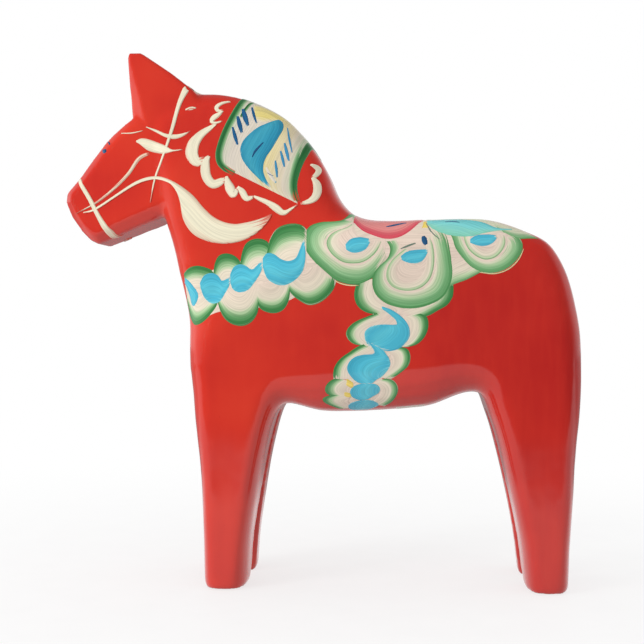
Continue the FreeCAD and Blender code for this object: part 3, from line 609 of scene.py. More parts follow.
def ear_facets(points, inset):
    """The long flat cut on the front outer corner of each ear, set in by a depth."""
    made = points.copy()
    for side in (-1, 1):
        tip, outer, front = (np.array((x, side * y, z)) for x, y, z in EAR_FACET)
        normal = np.cross(outer - tip, front - tip)
        normal *= -math.copysign(1 / np.linalg.norm(normal), normal[0])
        past = np.maximum((made - tip) @ normal + inset, 0)
        above_brow = fade(made[:, 2] + 0.9 * made[:, 0], 112.6, 115.1)
        past *= above_brow * fade(-made[:, 0], 60, 63) * (made[:, 1] * side > 0)
        made -= past[:, None] * normal
    return made


def normals_of(points, faces):
    """Area-weighted unit normals at the points of a quad mesh."""
    quads = np.array([f if len(f) == 4 else f + f[-1:] for f in faces])
    corners = points[quads]
    cross = np.cross(corners[:, 2] - corners[:, 0], corners[:, 3] - corners[:, 1])
    total = np.zeros_like(points)
    for k in range(4):
        for axis in range(3):
            total[:, axis] += np.bincount(quads[:, k], cross[:, axis], len(points))
    return total / np.maximum(np.linalg.norm(total, axis=1), 1e-12)[:, None]


def wander(points, step):
    """A slow, even variation over the surface, as a knife and a brush leave it."""
    x, y, z = points.T
    waves = np.sin(x / step + 1.3 * np.sin(z / (1.7 * step)))
    waves += np.sin(z / (0.8 * step) + 0.9 * np.sin(y / step) + 2)
    waves += np.sin((x + z) / (1.9 * step) + y / (2.3 * step))
    return waves / 3


def grown(points, normals, growth, floor):
    """The block grown by a thickness and sawn flat at a floor level."""
    made = points + normals * (growth + CARVING_DEPTH * wander(points, CARVING_STEP))[:, None]
    low, high = WOOD_LOW - COAT_GROWTH, WOOD_HIGH + COAT_GROWTH
    made = np.clip(made, low, high)
    sole = (normals[:, 2] < -0.8) & (points[:, 2] < 3)
    made[sole, 2] = floor
    made[:, 2] = np.maximum(made[:, 2], floor)
    return made


def new_mesh(name, points, faces):
    """A smooth-shaded mesh object from points in millimetres."""
    mesh = bpy.data.meshes.new(name)
    mesh.from_pydata((np.asarray(points) * MM).tolist(), [], faces)
    mesh.shade_smooth()
    made = bpy.data.objects.new(name, mesh)
    bpy.context.scene.collection.objects.link(made)
    return made


def outward(obj):
    """Turns every closed shell of a mesh so that its faces look out."""
    shell = bmesh.new()
    shell.from_mesh(obj.data)
    bmesh.ops.recalc_face_normals(shell, faces=shell.faces)
    shell.to_mesh(obj.data)
    shell.free()


def finish_piece(obj, material_slot, *nodes):
    """Puts a piece on the body, in place of its CAD nodes."""
    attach(obj, "root")
    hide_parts(*nodes)


# ---- where a stroke meets the coat ----

class Coat:
    """Finds points on the coat, and the way that the coat faces there."""

    def __init__(self, points, faces):
        self.tree = BVHTree.FromPolygons([tuple(p) for p in points], faces)
        self.rims = {}

    def hit(self, origin, direction):
        """(place, normal) where a ray meets the coat, or (None, None)."""
        place, normal, _, _ = self.tree.ray_cast(Vector(origin), Vector(direction))
        return place, normal

    def rim(self, x, side):
        """For a station x: the back's level and half width at its rim, and the belly's."""
        key = (round(x * 2), side)
        if key not in self.rims:
            self.rims[key] = self.find_rim(key[0] / 2, side)
        return self.rims[key]

    def find_rim(self, x, side):
        """As rim says, found with rays."""
        top, _ = self.hit((x, side * BACK_PROBE, FAR), (0, 0, -1))
        bottom, _ = self.under_place(x, side * BELLY_PROBE)
        found = []
        for place, drop in ((top, -RIM_DROP), (bottom, RIM_DROP)):
            level = place.z + drop
            edge, _ = self.hit((x, side * FAR, level), (0, -side, 0))
            found += [level, abs(edge.y)]
        return found

    def under_place(self, x, y):
        """The coat's underside at a point of the plan."""
        return self.hit((x, y, -FAR), (0, 0, 1))

    def side_place(self, side, x, z):
        """The coat at a side-view point. Past a rim, the height goes on across the back or
        the belly."""
        place, normal = self.hit((x, side * FAR, z), (0, -side, 0))
        if place is not None and not OVER_BACK[0] < x < OVER_BACK[1]:
            return place, normal
        top, top_half, bottom, bottom_half = self.rim(x, side)
        if z > top:
            across = towards_middle(z - top, top_half)
            return self.hit((x, side * across, FAR), (0, 0, -1))
        if z < bottom and place is None or z < bottom and BELLY[0] < x < BELLY[1]:
            return self.under_place(x, side * (bottom_half - (bottom - z)))
        return place, normal


def towards_middle(past, half):
    """How far from the middle a stroke is after running past a rim. It never gets across."""
    share = past / half
    return half * (1 - share if share < 0.8 else 0.2 * math.exp(4 - 5 * share))


# ---- brush strokes ----

def curve(points, count):
    """Evenly spaced places on a smooth curve through the points. Widths go along."""
    points = np.array(points, float)
    if len(points) == 2:
        share = np.linspace(0, 1, count)[:, None]
        return points[0] * (1 - share) + points[-1] * share
    gaps = np.linalg.norm(np.diff(points[:, :2], axis=0), axis=1)
    knots = np.concatenate([[0], np.cumsum(np.maximum(gaps, 1e-6))])
    slopes = np.gradient(points, knots, axis=0)
    fine = np.linspace(0, knots[-1], 24 * len(points))
    span = np.clip(np.searchsorted(knots, fine, "right") - 1, 0, len(knots) - 2)
    width = (knots[span + 1] - knots[span])[:, None]
    t = ((fine - knots[span])[:, None]) / width
    way = (
        (2 * t**3 - 3 * t**2 + 1) * points[span]
        + (t**3 - 2 * t**2 + t) * width * slopes[span]
        + (3 * t**2 - 2 * t**3) * points[span + 1]
        + (t**3 - t**2) * width * slopes[span + 1]
    )
    run = np.concatenate([[0], np.cumsum(np.linalg.norm(np.diff(way[:, :2], axis=0), axis=1))])
    even = np.linspace(0, run[-1], count)
    return np.stack([np.interp(even, run, way[:, k]) for k in range(way.shape[1])], axis=1)


def length_of(points):
    """Length of a polyline in the side view."""
    return float(np.linalg.norm(np.diff(np.array(points, float)[:, :2], axis=0), axis=1).sum())


def line_edges(points):
    """The two edges of a stroke that is given as a line with widths."""
    way = curve(points, max(12, int(length_of(points) / CELL)))
    along = np.gradient(way[:, :2], axis=0)
    along /= np.maximum(np.linalg.norm(along, axis=1), 1e-9)[:, None]
    across = np.stack([-along[:, 1], along[:, 0]], axis=1) * way[:, 2:3] / 2
    return way[:, :2] + across, way[:, :2] - across


def spaced(size, least):
    """Shares from 0 to 1 at about one cell apart, closer in the edge at each end, and the
    share that such an edge takes up."""
    edge = min(EDGE_WIDTH, 0.3 * size) / max(size, 1e-6)
    middle = np.linspace(edge, 1 - edge, max(least, int(size / CELL)))
    return np.concatenate([[0, 0.4 * edge], middle, [1 - 0.4 * edge, 1]]), edge


def soften(grid, passes):
    """Evens a grid of points along both of its ways, and keeps its border."""
    for _ in range(passes):
        for axis in (0, 1):
            grid = np.moveaxis(grid, axis, 0)
            inner = 0.25 * grid[:-2] + 0.5 * grid[1:-1] + 0.25 * grid[2:]
            grid = np.moveaxis(np.concatenate([grid[:1], inner, grid[-1:]]), 0, axis)
    return grid


def flat_grid(outer, inner):
    """A stroke in the side view as a grid of points, and where its rows and columns lie.

    Returns the grid, the rows' and the columns' shares, the shares that their dipping ends
    take up, and the stroke's length and its width at each row.
    """
    length = (length_of(outer) + length_of(inner)) / 2
    ribs = curve(outer, WIDTH_RIBS) - curve(inner, WIDTH_RIBS)
    widest = float(np.linalg.norm(ribs, axis=1).max())
    along, along_edge = spaced(length, LEAST_ROWS)
    across, across_edge = spaced(widest, LEAST_COLUMNS)
    share = np.linspace(0, 1, EDGE_SAMPLES)
    sides = []
    for edge in (outer, inner):
        way = curve(edge, EDGE_SAMPLES)
        sides.append(np.stack([np.interp(along, share, way[:, k]) for k in (0, 1)], axis=1))
    v = across[None, :, None]
    grid = sides[0][:, None, :] * (1 - v) + sides[1][:, None, :] * v
    widths = np.linalg.norm(sides[0] - sides[1], axis=1)
    return grid, (along, across), (along_edge, across_edge), length, widths


def laid(grid, place_of):
    """Places and unit normals on the coat for a grid of points, evened a little."""
    rows, columns = grid.shape[:2]
    places = np.zeros((rows, columns, 3))
    normals = np.zeros((rows, columns, 3))
    for i in range(rows):
        for j in range(columns):
            place, normal = place_of(*grid[i, j])
            if place is None:
                raise RuntimeError(f"a stroke leaves the coat at {grid[i, j]}")
            places[i, j], normals[i, j] = place, normal
    normals = soften(normals, NORMAL_SOFTENING)
    return soften(places, PLACE_SOFTENING), normals / np.linalg.norm(normals, axis=2)[:, :, None]


def lay_stroke(outer, inner, place_of, height):
    """A thin closed solid of paint between two edges, from its outer to its inner edge.

    Returns its points, its faces, and for each point how far along and across the stroke it
    lies, in millimetres and as shares.
    """
    grid, (along, across), edges, length, widths = flat_grid(outer, inner)
    places, normals = laid(grid, place_of)
    ends = fade(np.minimum(along, 1 - along), 0, edges[0])[:, None]
    flanks = fade(np.minimum(across, 1 - across), 0, edges[1])[None, :]
    body = np.minimum(ends, flanks)
    rise = height * body - EDGE_DIP * (1 - body)
    top = places + normals * rise[:, :, None]
    base = places - normals * UNDERSIDE
    points = np.concatenate([top.reshape(-1, 3), base.reshape(-1, 3)])
    rows, columns = grid.shape[:2]
    marks = {
        "along": np.broadcast_to(along[:, None] * length, (rows, columns)),
        "way": np.broadcast_to(along[:, None], (rows, columns)),
        "across": np.broadcast_to(across[None, :], (rows, columns)),
        "across_mm": across[None, :] * widths[:, None],
    }
    marks = {name: np.tile(values.reshape(-1), 2) for name, values in marks.items()}
    return points, slab_faces(rows, columns), marks


def slab_faces(rows, columns):
    """Faces of a closed slab whose top grid comes first and its base grid second."""
    index = np.arange(rows * columns).reshape(rows, columns)
    under = index + rows * columns
    faces = []
    for i in range(rows - 1):
        for j in range(columns - 1):
            a, b, c, d = index[i, j], index[i + 1, j], index[i + 1, j + 1], index[i, j + 1]
            faces.append((a, b, c, d))
            faces.append(tuple(int(k) + rows * columns for k in (d, c, b, a)))
    ring = [*index[0, :], *index[1:, -1], *index[-1, -2::-1], *index[-2:0:-1, 0]]
    low = [*under[0, :], *under[1:, -1], *under[-1, -2::-1], *under[-2:0:-1, 0]]
    for k in range(len(ring)):
        m = (k + 1) % len(ring)
        faces.append((ring[k], ring[m], low[m], low[k]))
    return [tuple(int(k) for k in face) for face in faces]


def set_marks(mesh, marks):
    """Keeps a piece's numbers at its points, for its materials."""
    for key, values in marks.items():
        attribute = mesh.attributes.new(key, "FLOAT", "POINT")
        attribute.data.foreach_set("value", np.concatenate(values).astype(np.float32))


def paint_piece(name, strokes, coat, side, layer):
    """One piece of paint from its strokes, each with a paint of its own."""
    points, faces, paints, marks = [], [], [], {}
    start = 0
    for number, (paint, outer, inner) in enumerate(strokes):
        height = FIRST_LAYER + layer * LAYER_STEP + number * STROKE_STEP
        place_of = partial(coat.side_place, side)
        some, quads, some_marks = lay_stroke(outer, inner, place_of, height)
        points.append(some)
        faces += [tuple(start + k for k in quad) for quad in quads]
        paints += [paint] * len(quads)
        # The seed gives each stroke bristles of its own
        some_marks["seed"] = np.full(len(some), 3.7 * number + 0.76 * layer + side)
        for key, values in some_marks.items():
            marks.setdefault(key, []).append(values)
        start += len(some)
    made = new_mesh(name, np.concatenate(points), faces)
    set_marks(made.data, marks)
    kinds = list(dict.fromkeys(paints))
    for kind in kinds:
        made.data.materials.append(PAINTS[kind])
    made.data.polygons.foreach_set("material_index", [kinds.index(p) for p in paints])
    outward(made)
    return made


# ---- materials ----

# Colours, as red, green and blue in 0 to 255 on a screen
RED = (208, 52, 38)
RED_BRIGHT = (214, 60, 42)
RED_DEEP = (196, 44, 36)
# Dark red: painted shade on the rump, and also the colour of the specks
RED_SPECK_AND_SHADE = (176, 32, 30)
PINE_LIGHT = (226, 196, 150)
PINE = (206, 168, 116)
PINE_DARK = (168, 122, 74)
CREAM = (236, 229, 202)
CREAM_THIN = (222, 202, 176)
GREEN = (62, 130, 72)
GREEN_MID = (104, 160, 104)
GREEN_PALE = (172, 202, 156)
WHITE_GREEN = (210, 214, 184)
WHITE_WARM = (226, 216, 194)
WHITE_PINK = (226, 206, 190)


def linear(colour):
    """A linear colour from red, green and blue in 0 to 255 as a screen shows them."""
    parts = [c / 255 for c in colour]
    made = [c / 12.92 if c <= 0.04045 else ((c + 0.055) / 1.055) ** 2.4 for c in parts]
    return (*made, 1.0)


def add_node(tree, kind, inputs=None, **settings):
    """A shader node. An input takes a value, or another node's output."""
    made = tree.nodes.new(kind)
    for name, value in settings.items():
        setattr(made, name, value)
    for key, value in (inputs or {}).items():
        if isinstance(value, bpy.types.NodeSocket):
            tree.links.new(value, made.inputs[key])
        else:
            made.inputs[key].default_value = value
    return made


def math_node(tree, operation, first, second):
    """The result of one operation on two values or sockets."""
    made = add_node(tree, "ShaderNodeMath", {0: first, 1: second}, operation=operation)
    return made.outputs[0]


def ramp(tree, factor, stops):
    """A colour that runs through stops of (share, screen colour)."""
    made = add_node(tree, "ShaderNodeValToRGB", {"Fac": factor})
    elements = made.color_ramp.elements
    while len(elements) < len(stops):
        elements.new(0.5)
    for element, (share, colour) in zip(elements, stops):
        element.position = share
        element.color = linear(colour)
    return made.outputs["Color"]


def mixed(tree, factor, first, second, blend="MIX"):
    """Two colours mixed. The factor and the colours may be sockets or values."""
    made = add_node(tree, "ShaderNodeMix", data_type="RGBA", blend_type=blend)
    for socket, value in ((0, factor), (6, first), (7, second)):
        if isinstance(value, bpy.types.NodeSocket):
            tree.links.new(value, made.inputs[socket])
        else:
            made.inputs[socket].default_value = value
    return made.outputs[2]


def noise(tree, vector, scale, detail):
    """Noise from 0 to 1 at a scale."""
    inputs = {"Vector": vector, "Scale": scale, "Detail": detail}
    return add_node(tree, "ShaderNodeTexNoise", inputs).outputs["Fac"]


def mapped(tree, value, low, high, to_low=0.0, to_high=1.0):
    """A value's range mapped smoothly to another and held within it."""
    inputs = {"Value": value, 1: low, 2: high, 3: to_low, 4: to_high}
    made = add_node(tree, "ShaderNodeMapRange", inputs, interpolation_type="SMOOTHSTEP")
    return made.outputs["Result"]


def new_material(name, roughness):
    """A material and its node tree and surface shader."""
    made = bpy.data.materials.new(name)
    made.use_nodes = True
    tree = made.node_tree
    shader = tree.nodes["Principled BSDF"]
    shader.inputs["Roughness"].default_value = roughness
    return made, tree, shader


def bump(tree, shader, height, strength, distance):
    """Relief on a surface."""
    inputs = {"Height": height, "Strength": strength, "Distance": distance}
    made = add_node(tree, "ShaderNodeBump", inputs)
    tree.links.new(made.outputs["Normal"], shader.inputs["Normal"])


def red_coat_material():
    """Glossy red enamel, a little uneven where the brush went, with a few specks. It is painted
    darker towards the rump: painted shade, standing in for light that falls from the front left.
    """
    made, tree, shader = new_material("red_enamel", 0.13)
    place = add_node(tree, "ShaderNodeTexCoord").outputs["Object"]
    broad = noise(tree, place, 28.0, 3.0)
    stretched = add_node(tree, "ShaderNodeMapping", {"Vector": place, "Scale": (1.0, 1.0, 0.16)})
    brushed = noise(tree, stretched.outputs["Vector"], 420.0, 3.0)
    along = add_node(tree, "ShaderNodeSeparateXYZ", {0: place}).outputs["X"]
    # front is the lit red and rear its shaded copy, a painted shade of the same enamel
    front = ramp(tree, broad, [(0.3, RED_DEEP), (0.55, RED), (0.75, RED_BRIGHT)])
    rear = ramp(tree, broad, [(0.3, RED_SPECK_AND_SHADE), (0.7, RED_DEEP)])
    # Painted shade: the colour goes from the lit red to the shaded red from the chest towards the
    # rump
    body = mixed(tree, mapped(tree, along, -0.03, 0.07, 0.0, 0.8), front, rear)
    streaks = mapped(tree, brushed, 0.35, 0.7, 0.0, 0.12)
    colour = mixed(tree, streaks, body, linear(RED_BRIGHT))
    specks = mapped(tree, noise(tree, place, 900.0, 1.0), 0.79, 0.84, 0.0, 0.35)
    colour = mixed(tree, specks, colour, linear(RED_SPECK_AND_SHADE))
    tree.links.new(colour, shader.inputs["Base Color"])
    relief = math_node(tree, "ADD", broad, math_node(tree, "MULTIPLY", brushed, 0.12))
    bump(tree, shader, relief, 0.35, 0.0006)
    return made


def pine_material():
    """Bare pine: growth rings along the legs, with fine pores."""
    made, tree, shader = new_material("pine", 0.55)
    place = add_node(tree, "ShaderNodeTexCoord").outputs["Object"]
    inputs = {"Vector": place, "Scale": 90.0, "Distortion": 2.2, "Detail": 2.0}
    rings = add_node(tree, "ShaderNodeTexWave", inputs, bands_direction="Y").outputs["Fac"]
    pores = noise(tree, place, 1500.0, 3.0)
    wood = ramp(tree, rings, [(0.0, PINE_LIGHT), (0.7, PINE), (1.0, PINE_DARK)])
    colour = mixed(tree, mapped(tree, pores, 0.4, 0.75, 0.0, 0.3), wood, linear(PINE_DARK))
    tree.links.new(colour, shader.inputs["Base Color"])
    bump(tree, shader, math_node(tree, "ADD", rings, pores), 0.4, 0.0002)
    return made


def attribute(tree, name):
    """A number kept at the points of a stroke."""
    return add_node(tree, "ShaderNodeAttribute", attribute_name=name).outputs["Fac"]


def bristles(tree, fineness, run=0.035):
    """Streaks along a stroke, as wide as a bristle."""
    across = math_node(tree, "MULTIPLY", attribute(tree, "across_mm"), fineness)
    along = math_node(tree, "MULTIPLY", attribute(tree, "along"), run)
    seed = math_node(tree, "MULTIPLY", attribute(tree, "seed"), 5.31)
    inputs = {"X": along, "Y": across, "Z": seed}
    place = add_node(tree, "ShaderNodeCombineXYZ", inputs).outputs[0]
    return noise(tree, place, 1.0, 3.0)


def paint_material(name, stops, streak, thin, under=RED):
    """Brushed paint whose colour runs through stops from a stroke's outer to inner edge.

    streak is how far bristles shift that colour, and thin is how much red shows through
    between them at the stroke's ends and edges. A stroke over other paint shows that
    paint's colour, under, instead.
    """
    made, tree, shader = new_material(name, 0.2)
    coarse = bristles(tree, 0.9)
    fine = bristles(tree, 2.6, 0.05)
    both = math_node(tree, "ADD", math_node(tree, "MULTIPLY", coarse, 0.6),
                     math_node(tree, "MULTIPLY", fine, 0.4))
    off = math_node(tree, "MULTIPLY", math_node(tree, "SUBTRACT", both, 0.5), 2 * streak)
    across = attribute(tree, "across")
    colour = ramp(tree, math_node(tree, "ADD", across, off), stops)
    shade = mapped(tree, fine, 0.3, 0.7, 0.86, 1.06)
    colour = mixed(tree, 1.0, colour, shade, "MULTIPLY")
    way = attribute(tree, "way")
    to_side = math_node(tree, "MINIMUM", across, math_node(tree, "SUBTRACT", 1.0, across))
    dry_end = mapped(tree, way, 0.84, 1.0, 0.0, 0.8)
    wet_end = mapped(tree, way, 0.0, 0.04, 0.45, 0.0)
    bare_side = mapped(tree, to_side, 0.0, 0.1, 0.3, 0.0)
    rough = mapped(tree, fine, 0.25, 0.75)
    ends = math_node(tree, "ADD", dry_end, wet_end)
    bare = math_node(tree, "ADD", math_node(tree, "ADD", ends, bare_side), rough)
    show = mapped(tree, bare, 0.95 - thin, 1.25 - thin, 0.0, 0.85)
    colour = mixed(tree, show, colour, linear(under))
    tree.links.new(colour, shader.inputs["Base Color"])
    bump(tree, shader, both, 0.45, 0.00025)
    return made


def label_material():
    """Plain off-white paper with faint fibres."""
    made, tree, shader = new_material("label_paper", 0.6)
    place = add_node(tree, "ShaderNodeTexCoord").outputs["Object"]
    fibres = noise(tree, place, 1800.0, 4.0)
    colour = ramp(tree, fibres, [(0.3, (214, 208, 196)), (0.7, (244, 240, 232))])
    tree.links.new(colour, shader.inputs["Base Color"])
    bump(tree, shader, fibres, 0.3, 0.0001)
    return made


# Paints: a material's name, its stops as (share, colour), its streak, its thinness and,
# where that isn't the red, the colour under it, all as paint_material takes them
PAINT_TABLE = {
    "cream": (
        "cream_paint", [(0.0, CREAM_THIN), (0.2, CREAM), (0.8, CREAM), (1.0, CREAM_THIN)],
        0.25, 0.04),
    "cream_dry": (
        "cream_dry_paint", [(0.0, CREAM_THIN), (0.5, CREAM), (1.0, CREAM_THIN)],
        0.3, 0.36),
    "green_white": (
        "green_white_paint",
        [(0.0, GREEN), (0.12, GREEN), (0.22, GREEN_MID), (0.33, GREEN_PALE),
         (0.44, WHITE_WARM), (1.0, WHITE_PINK)], 0.1, 0.0, WHITE_PINK),
    "ring": (
        "petal_ring_paint",
        [(0.0, (72, 138, 80)), (0.14, (92, 154, 96)), (0.34, (120, 174, 120)),
         (0.52, (148, 192, 142)), (0.66, GREEN_PALE), (0.82, WHITE_GREEN), (0.94, WHITE_WARM),
         (1.0, (158, 194, 146))], 0.26, 0.0, WHITE_PINK),
    "petal": (
        "petal_heart_paint",
        [(0.0, (90, 146, 92)), (0.08, (122, 172, 118)), (0.26, (184, 206, 164)),
         (0.46, WHITE_WARM), (1.0, WHITE_PINK)], 0.2, 0.0, WHITE_PINK),
    "ground": (
        "ground_paint", [(0.0, WHITE_WARM), (0.4, WHITE_PINK), (1.0, WHITE_PINK)], 0.3, -1.2),
    "leaf": (
        "leaf_paint",
        [(0.0, (96, 158, 98)), (0.16, (140, 184, 136)), (0.3, WHITE_GREEN), (1.0, WHITE_PINK)],
        0.2, 0.0, WHITE_GREEN),
    "blue": (
        "blue_paint",
        [(0.0, (66, 168, 194)), (0.3, (78, 184, 208)), (0.6, (92, 194, 212)),
         (0.85, (72, 176, 202)), (1.0, (104, 194, 208))], 0.35, 0.0, WHITE_WARM),
    "mane_blue": (
        "mane_blue_paint",
        [(0.0, (36, 124, 158)), (0.35, (50, 150, 180)), (0.7, (66, 164, 188)),
         (1.0, (44, 140, 172))], 0.3, 0.0, WHITE_WARM),
    "dash": (
        "dash_paint", [(0.0, (24, 74, 118)), (0.5, (34, 96, 142)), (1.0, (26, 82, 128))],
        0.3, 0.0, (120, 160, 180)),
    "dash_light": (
        "dash_light_paint", [(0.0, (40, 118, 166)), (0.5, (66, 146, 186)), (1.0, (44, 120, 168))],
        0.3, 0.0, (150, 186, 196)),
    "dark_blue": (
        "dark_blue_paint", [(0.0, (30, 70, 108)), (0.5, (36, 82, 124)), (1.0, (44, 94, 134))],
        0.3, -1.2),
    "rose": (
        "rose_paint",
        [(0.0, (202, 60, 78)), (0.05, (210, 80, 94)), (0.09, (218, 112, 116)),
         (0.13, (222, 140, 136)), (0.24, (218, 130, 128)), (0.36, (208, 100, 108)),
         (0.5, (200, 80, 92)), (1.0, (186, 70, 84))],
        0.08, 0.0, (218, 126, 126)),
    "turquoise": (
        "turquoise_paint",
        [(0.0, (96, 190, 196)), (0.5, (124, 208, 208)), (0.8, (136, 208, 190)),
         (1.0, (124, 200, 176))], 0.3, 0.0, (140, 200, 184)),
    "pale_green": (
        "pale_green_paint",
        [(0.0, GREEN_PALE), (0.5, WHITE_GREEN), (1.0, WHITE_PINK)], 0.3, 0.0, WHITE_GREEN),
    "border": (
        "border_paint",
        [(0.0, (98, 150, 104)), (0.16, (46, 112, 60)), (0.46, (40, 104, 56)),
         (0.64, (92, 150, 96)), (0.82, (156, 188, 146)), (1.0, WHITE_WARM)], 0.14, 0.0),
    "grey_green": (
        "grey_green_paint",
        [(0.0, (104, 124, 108)), (0.5, (112, 130, 116)), (1.0, (104, 124, 108))], 0.3, -1.2),
    "yellow": (
        "yellow_paint", [(0.0, (218, 190, 84)), (0.5, (236, 210, 108)), (1.0, (222, 196, 100))],
        0.3, 0.0, WHITE_WARM),
    "yellow_soft": (
        "soft_yellow_paint",
        [(0.0, WHITE_WARM), (0.3, (228, 212, 140)), (0.7, (232, 214, 132)), (1.0, WHITE_WARM)],
        0.3, 0.0, WHITE_WARM),
    "rim": (
        "rim_paint", [(0.0, (214, 206, 150)), (0.5, (226, 216, 166)), (1.0, (214, 206, 150))],
        0.3, 0.0),
    "white_dab": (
        "white_dab_paint", [(0.0, WHITE_WARM), (0.5, (226, 214, 200)), (1.0, WHITE_WARM)],
        0.3, 0.3, (66, 164, 188)),
    "panel": (
        "mane_panel_paint",
        [(0.0, (196, 204, 176)), (0.14, (218, 208, 194)), (0.4, (222, 212, 194)),
         (0.56, (224, 208, 146)), (0.72, (222, 208, 168)), (0.86, (216, 204, 186)),
         (1.0, (186, 196, 168))], 0.16, -0.12, WHITE_WARM),
}
PAINTS = {key: paint_material(*row) for key, row in PAINT_TABLE.items()}

# Pieces in the order they were painted, with their slots in the record. A piece stands for
# the CAD node of its own name, for its side or for both, and for the extra ones below
PIECES = [
    ("breast_garland", "green_white_paint"), ("girth_scallops", "green_white_paint"),
    ("front_petal", "green_white_paint"), ("rear_petal", "green_white_paint"),
    ("middle_petal", "green_white_paint"), ("saddle_rose", "rose_paint"),
    ("turquoise_leaf", "turquoise_paint"), ("front_petal_spot", "blue_paint"),
    ("middle_petal_spot", "blue_paint"), ("rear_petal_spot", "blue_paint"),
    ("breast_wave", "blue_paint"), ("girth_wave", "blue_paint"),
    ("mane_panel", "pale_mane_paint"), ("mane_front_border", "green_white_paint"),
    ("mane_rear_border", "green_white_paint"), ("mane_drop", "blue_paint"),
    ("mane_front_dashes", "blue_paint"), ("mane_rear_dashes", "blue_paint"),
    ("mane_wave", "cream_paint"), ("mane_hook", "cream_paint"),
    ("headstall", "cream_paint"), ("brow_stroke", "cream_paint"),
    ("eye_stroke", "cream_paint"), ("forelock_line", "cream_paint"),
    ("cheek_line", "cream_paint"), ("rein", "cream_paint"),
    ("noseband", "cream_paint"), ("forehead_marks", "dark_blue_paint"),
]
EXTRA_NODES = {"turquoise_leaf": ["rear_leaf"]}
SIDES = {"left": -1, "right": 1}


def strokes_of(name):
    """A piece's strokes in order: (paint, outer edge, inner edge)."""
    return FANS.get(name, []) + [(paint, *line_edges(way)) for paint, way in LINES.get(name, [])]


def nodes_for(name, side_name):
    """The CAD nodes that a piece of one side stands for."""
    found = []
    for base in [name, *EXTRA_NODES.get(name, [])]:
        for node in (f"{side_name}_{base}", base):
            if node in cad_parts:
                found.append(node)
    return found


def paint_horse(coat):
    """Every brush stroke on both sides."""
    for layer, (name, material_slot) in enumerate(PIECES):
        for side_name, side in SIDES.items():
            strokes = strokes_of(name)
            piece = paint_piece(f"{side_name}_{name}_paint", strokes, coat, side, layer)
            finish_piece(piece, material_slot, *nodes_for(name, side_name))


def build_body():
    """The red coat and the pine inside it. Returns what strokes are laid on."""
    points, edges, faces = remeshed("pine_body", COAT_VOXEL)
    points = carve(points, edges, COAT_VOXEL)
    points = grown(points, normals_of(points, faces), COAT_GROWTH, SOLE_RIM)
    points = ear_facets(points, 0.0)
    coat = new_mesh("red_coat_shell", points, faces)
    coat.data.materials.append(red_coat_material())
    finish_piece(coat, "red_paint", "red_coat")
    wood, wood_edges, wood_faces = remeshed("pine_body", WOOD_VOXEL)
    wood = carve(wood, wood_edges, WOOD_VOXEL)
    wood = grown(wood, normals_of(wood, wood_faces), WOOD_GROWTH, 0.0)
    wood = ear_facets(wood, COAT_GROWTH - WOOD_GROWTH)
    pine = new_mesh("pine_block", wood, wood_faces)
    pine.data.materials.append(pine_material())
    finish_piece(pine, "pine", "pine_body")
    return Coat(points, faces)


def build_label(coat):
    """The plain paper label under the belly's left edge."""
    low, high = (np.array(corner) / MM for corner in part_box("belly_label"))
    outer = [(low[0], low[1]), (high[0], low[1])]
    inner = [(low[0], high[1]), (high[0], high[1])]
    points, faces, _ = lay_stroke(outer, inner, coat.under_place, LABEL_THICKNESS)
    label = new_mesh("belly_label_paper", points, faces)
    label.data.materials.append(label_material())
    outward(label)
    finish_piece(label, "label_paper", "belly_label")


# ---- stage, lights and camera ----

def camera():
    """A camera at the height of the horse's middle, looking along +Y."""
    data = bpy.data.cameras.new("camera")
    data.sensor_width = 36.0
    data.lens = LENS
    made = bpy.data.objects.new("camera", data)
    made.location = [c * MM for c in EYE]
    away = Vector(TARGET) - Vector(EYE)
    made.rotation_euler = away.to_track_quat("-Z", "Y").to_euler()
    bpy.context.scene.collection.objects.link(made)
    bpy.context.scene.camera = made


def softbox(name, place, size, power):
    """A square area light that points at the horse."""
    data = bpy.data.lights.new(name, "AREA")
    data.shape = "RECTANGLE"
    data.size, data.size_y = size
    data.energy = power
    made = bpy.data.objects.new(name, data)
    made.location = place
    away = Vector(LIGHT_AIM) - Vector(place)
    made.rotation_euler = away.to_track_quat("-Z", "Y").to_euler()
    made.visible_glossy = False
    bpy.context.scene.collection.objects.link(made)


def studio_world():
    """White to the camera, and soft light all round. Gloss shows dark in front, light behind
    and a window on the left."""
    world = bpy.data.worlds.new("studio")
    bpy.context.scene.world = world
    world.use_nodes = True
    tree = world.node_tree
    background = tree.nodes["Background"]
    way = add_node(tree, "ShaderNodeTexCoord").outputs["Generated"]
    parts = add_node(tree, "ShaderNodeSeparateXYZ", {0: way}).outputs
    behind = mapped(tree, parts["Y"], -0.4, 0.5)
    above = mapped(tree, parts["Z"], 0.2, 0.75, 1.0, 0.25)
    gloss = mapped(tree, math_node(tree, "MULTIPLY", behind, above), 0.0, 1.0, 0.05, 0.8)
    window = mapped(tree, parts["X"], -0.97, -0.8, 0.6, 0.0)
    gloss = math_node(tree, "ADD", gloss, window)
    soft = mapped(tree, parts["Z"], -0.6, 0.9, 0.8, 0.88)
    rays = add_node(tree, "ShaderNodeLightPath").outputs
    level = add_node(tree, "ShaderNodeMix", {0: rays["Is Glossy Ray"], 2: soft, 3: gloss})
    level = add_node(tree, "ShaderNodeMix", {0: rays["Is Camera Ray"], 2: level.outputs[0], 3: 1.0})
    tree.links.new(level.outputs[0], background.inputs["Strength"])
    background.inputs["Color"].default_value = (1.0, 1.0, 1.0, 1.0)


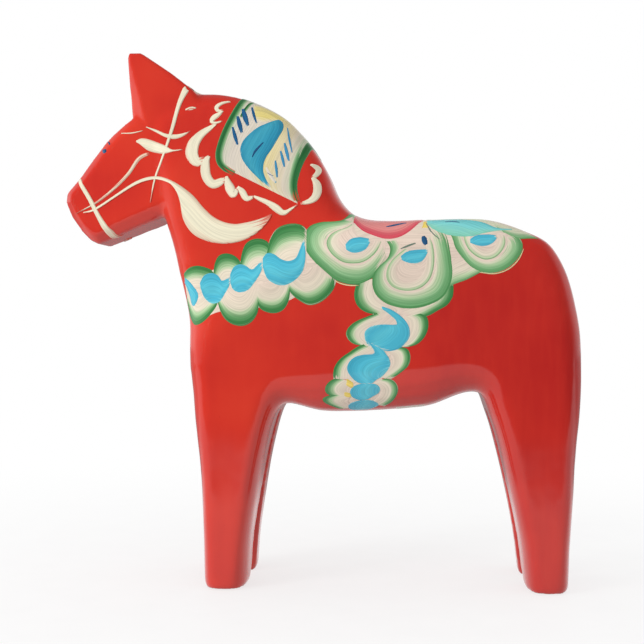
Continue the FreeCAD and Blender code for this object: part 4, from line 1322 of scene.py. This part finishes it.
def floor_material():
    """A pale floor that goes over into the white round it. Gloss shows it dark in front of
    the horse and dim behind, and it lights the horse from below at half strength."""
    made, tree, shader = new_material("pale_floor", 0.6)
    place = add_node(tree, "ShaderNodeTexCoord").outputs["Object"]
    grain = noise(tree, place, 60.0, 3.0)
    tone = ramp(tree, grain, [(0.3, (240, 240, 240)), (0.7, (246, 246, 246))])
    tree.links.new(tone, shader.inputs["Base Color"])
    reach = add_node(tree, "ShaderNodeVectorMath", {0: place}, operation="LENGTH").outputs["Value"]
    far = mapped(tree, reach, 0.0, 0.4, 0.72, 1.0)
    glow = add_node(tree, "ShaderNodeEmission", {"Color": (1.0, 1.0, 1.0, 1.0), "Strength": 1.0})
    blend = add_node(tree, "ShaderNodeMixShader", {0: far, 1: shader.outputs[0], 2: glow.outputs[0]})
    dark = add_node(tree, "ShaderNodeEmission", {"Color": (1.0, 1.0, 1.0, 1.0), "Strength": 0.04})
    depth = add_node(tree, "ShaderNodeSeparateXYZ", {0: place}).outputs["Y"]
    front = mapped(tree, depth, -0.3, -0.24, 1.0, 0.0)
    back = mapped(tree, depth, 0.1, 0.26, 0.0, 0.7)
    rays = add_node(tree, "ShaderNodeLightPath").outputs
    dim = math_node(tree, "ADD", front, back)
    dim = math_node(tree, "MULTIPLY", dim, rays["Is Glossy Ray"])
    weak = math_node(tree, "MULTIPLY", rays["Is Diffuse Ray"], 0.5)
    dim = math_node(tree, "ADD", dim, weak)
    final = add_node(tree, "ShaderNodeMixShader", {0: dim, 1: blend.outputs[0], 2: dark.outputs[0]})
    tree.links.new(final.outputs[0], tree.nodes["Material Output"].inputs["Surface"])
    return made


def build_stage():
    """The floor, the lights, the world and the camera."""
    mesh = bpy.data.meshes.new("floor")
    rim = [math.tau * k / 64 for k in range(64)]
    mesh.from_pydata([(FLOOR_RADIUS * math.cos(a), FLOOR_RADIUS * math.sin(a), 0) for a in rim],
                     [], [tuple(range(64))])
    floor = bpy.data.objects.new("floor", mesh)
    floor.location.z = -0.0001
    bpy.context.scene.collection.objects.link(floor)
    mesh.materials.append(floor_material())
    studio_world()
    softbox("key", (-0.95, -0.75, 0.3), (0.4, 0.4), 8.6)
    camera()
    bpy.context.scene.view_settings.view_transform = "Standard"


horse_coat = build_body()
paint_horse(horse_coat)
build_label(horse_coat)
build_stage()
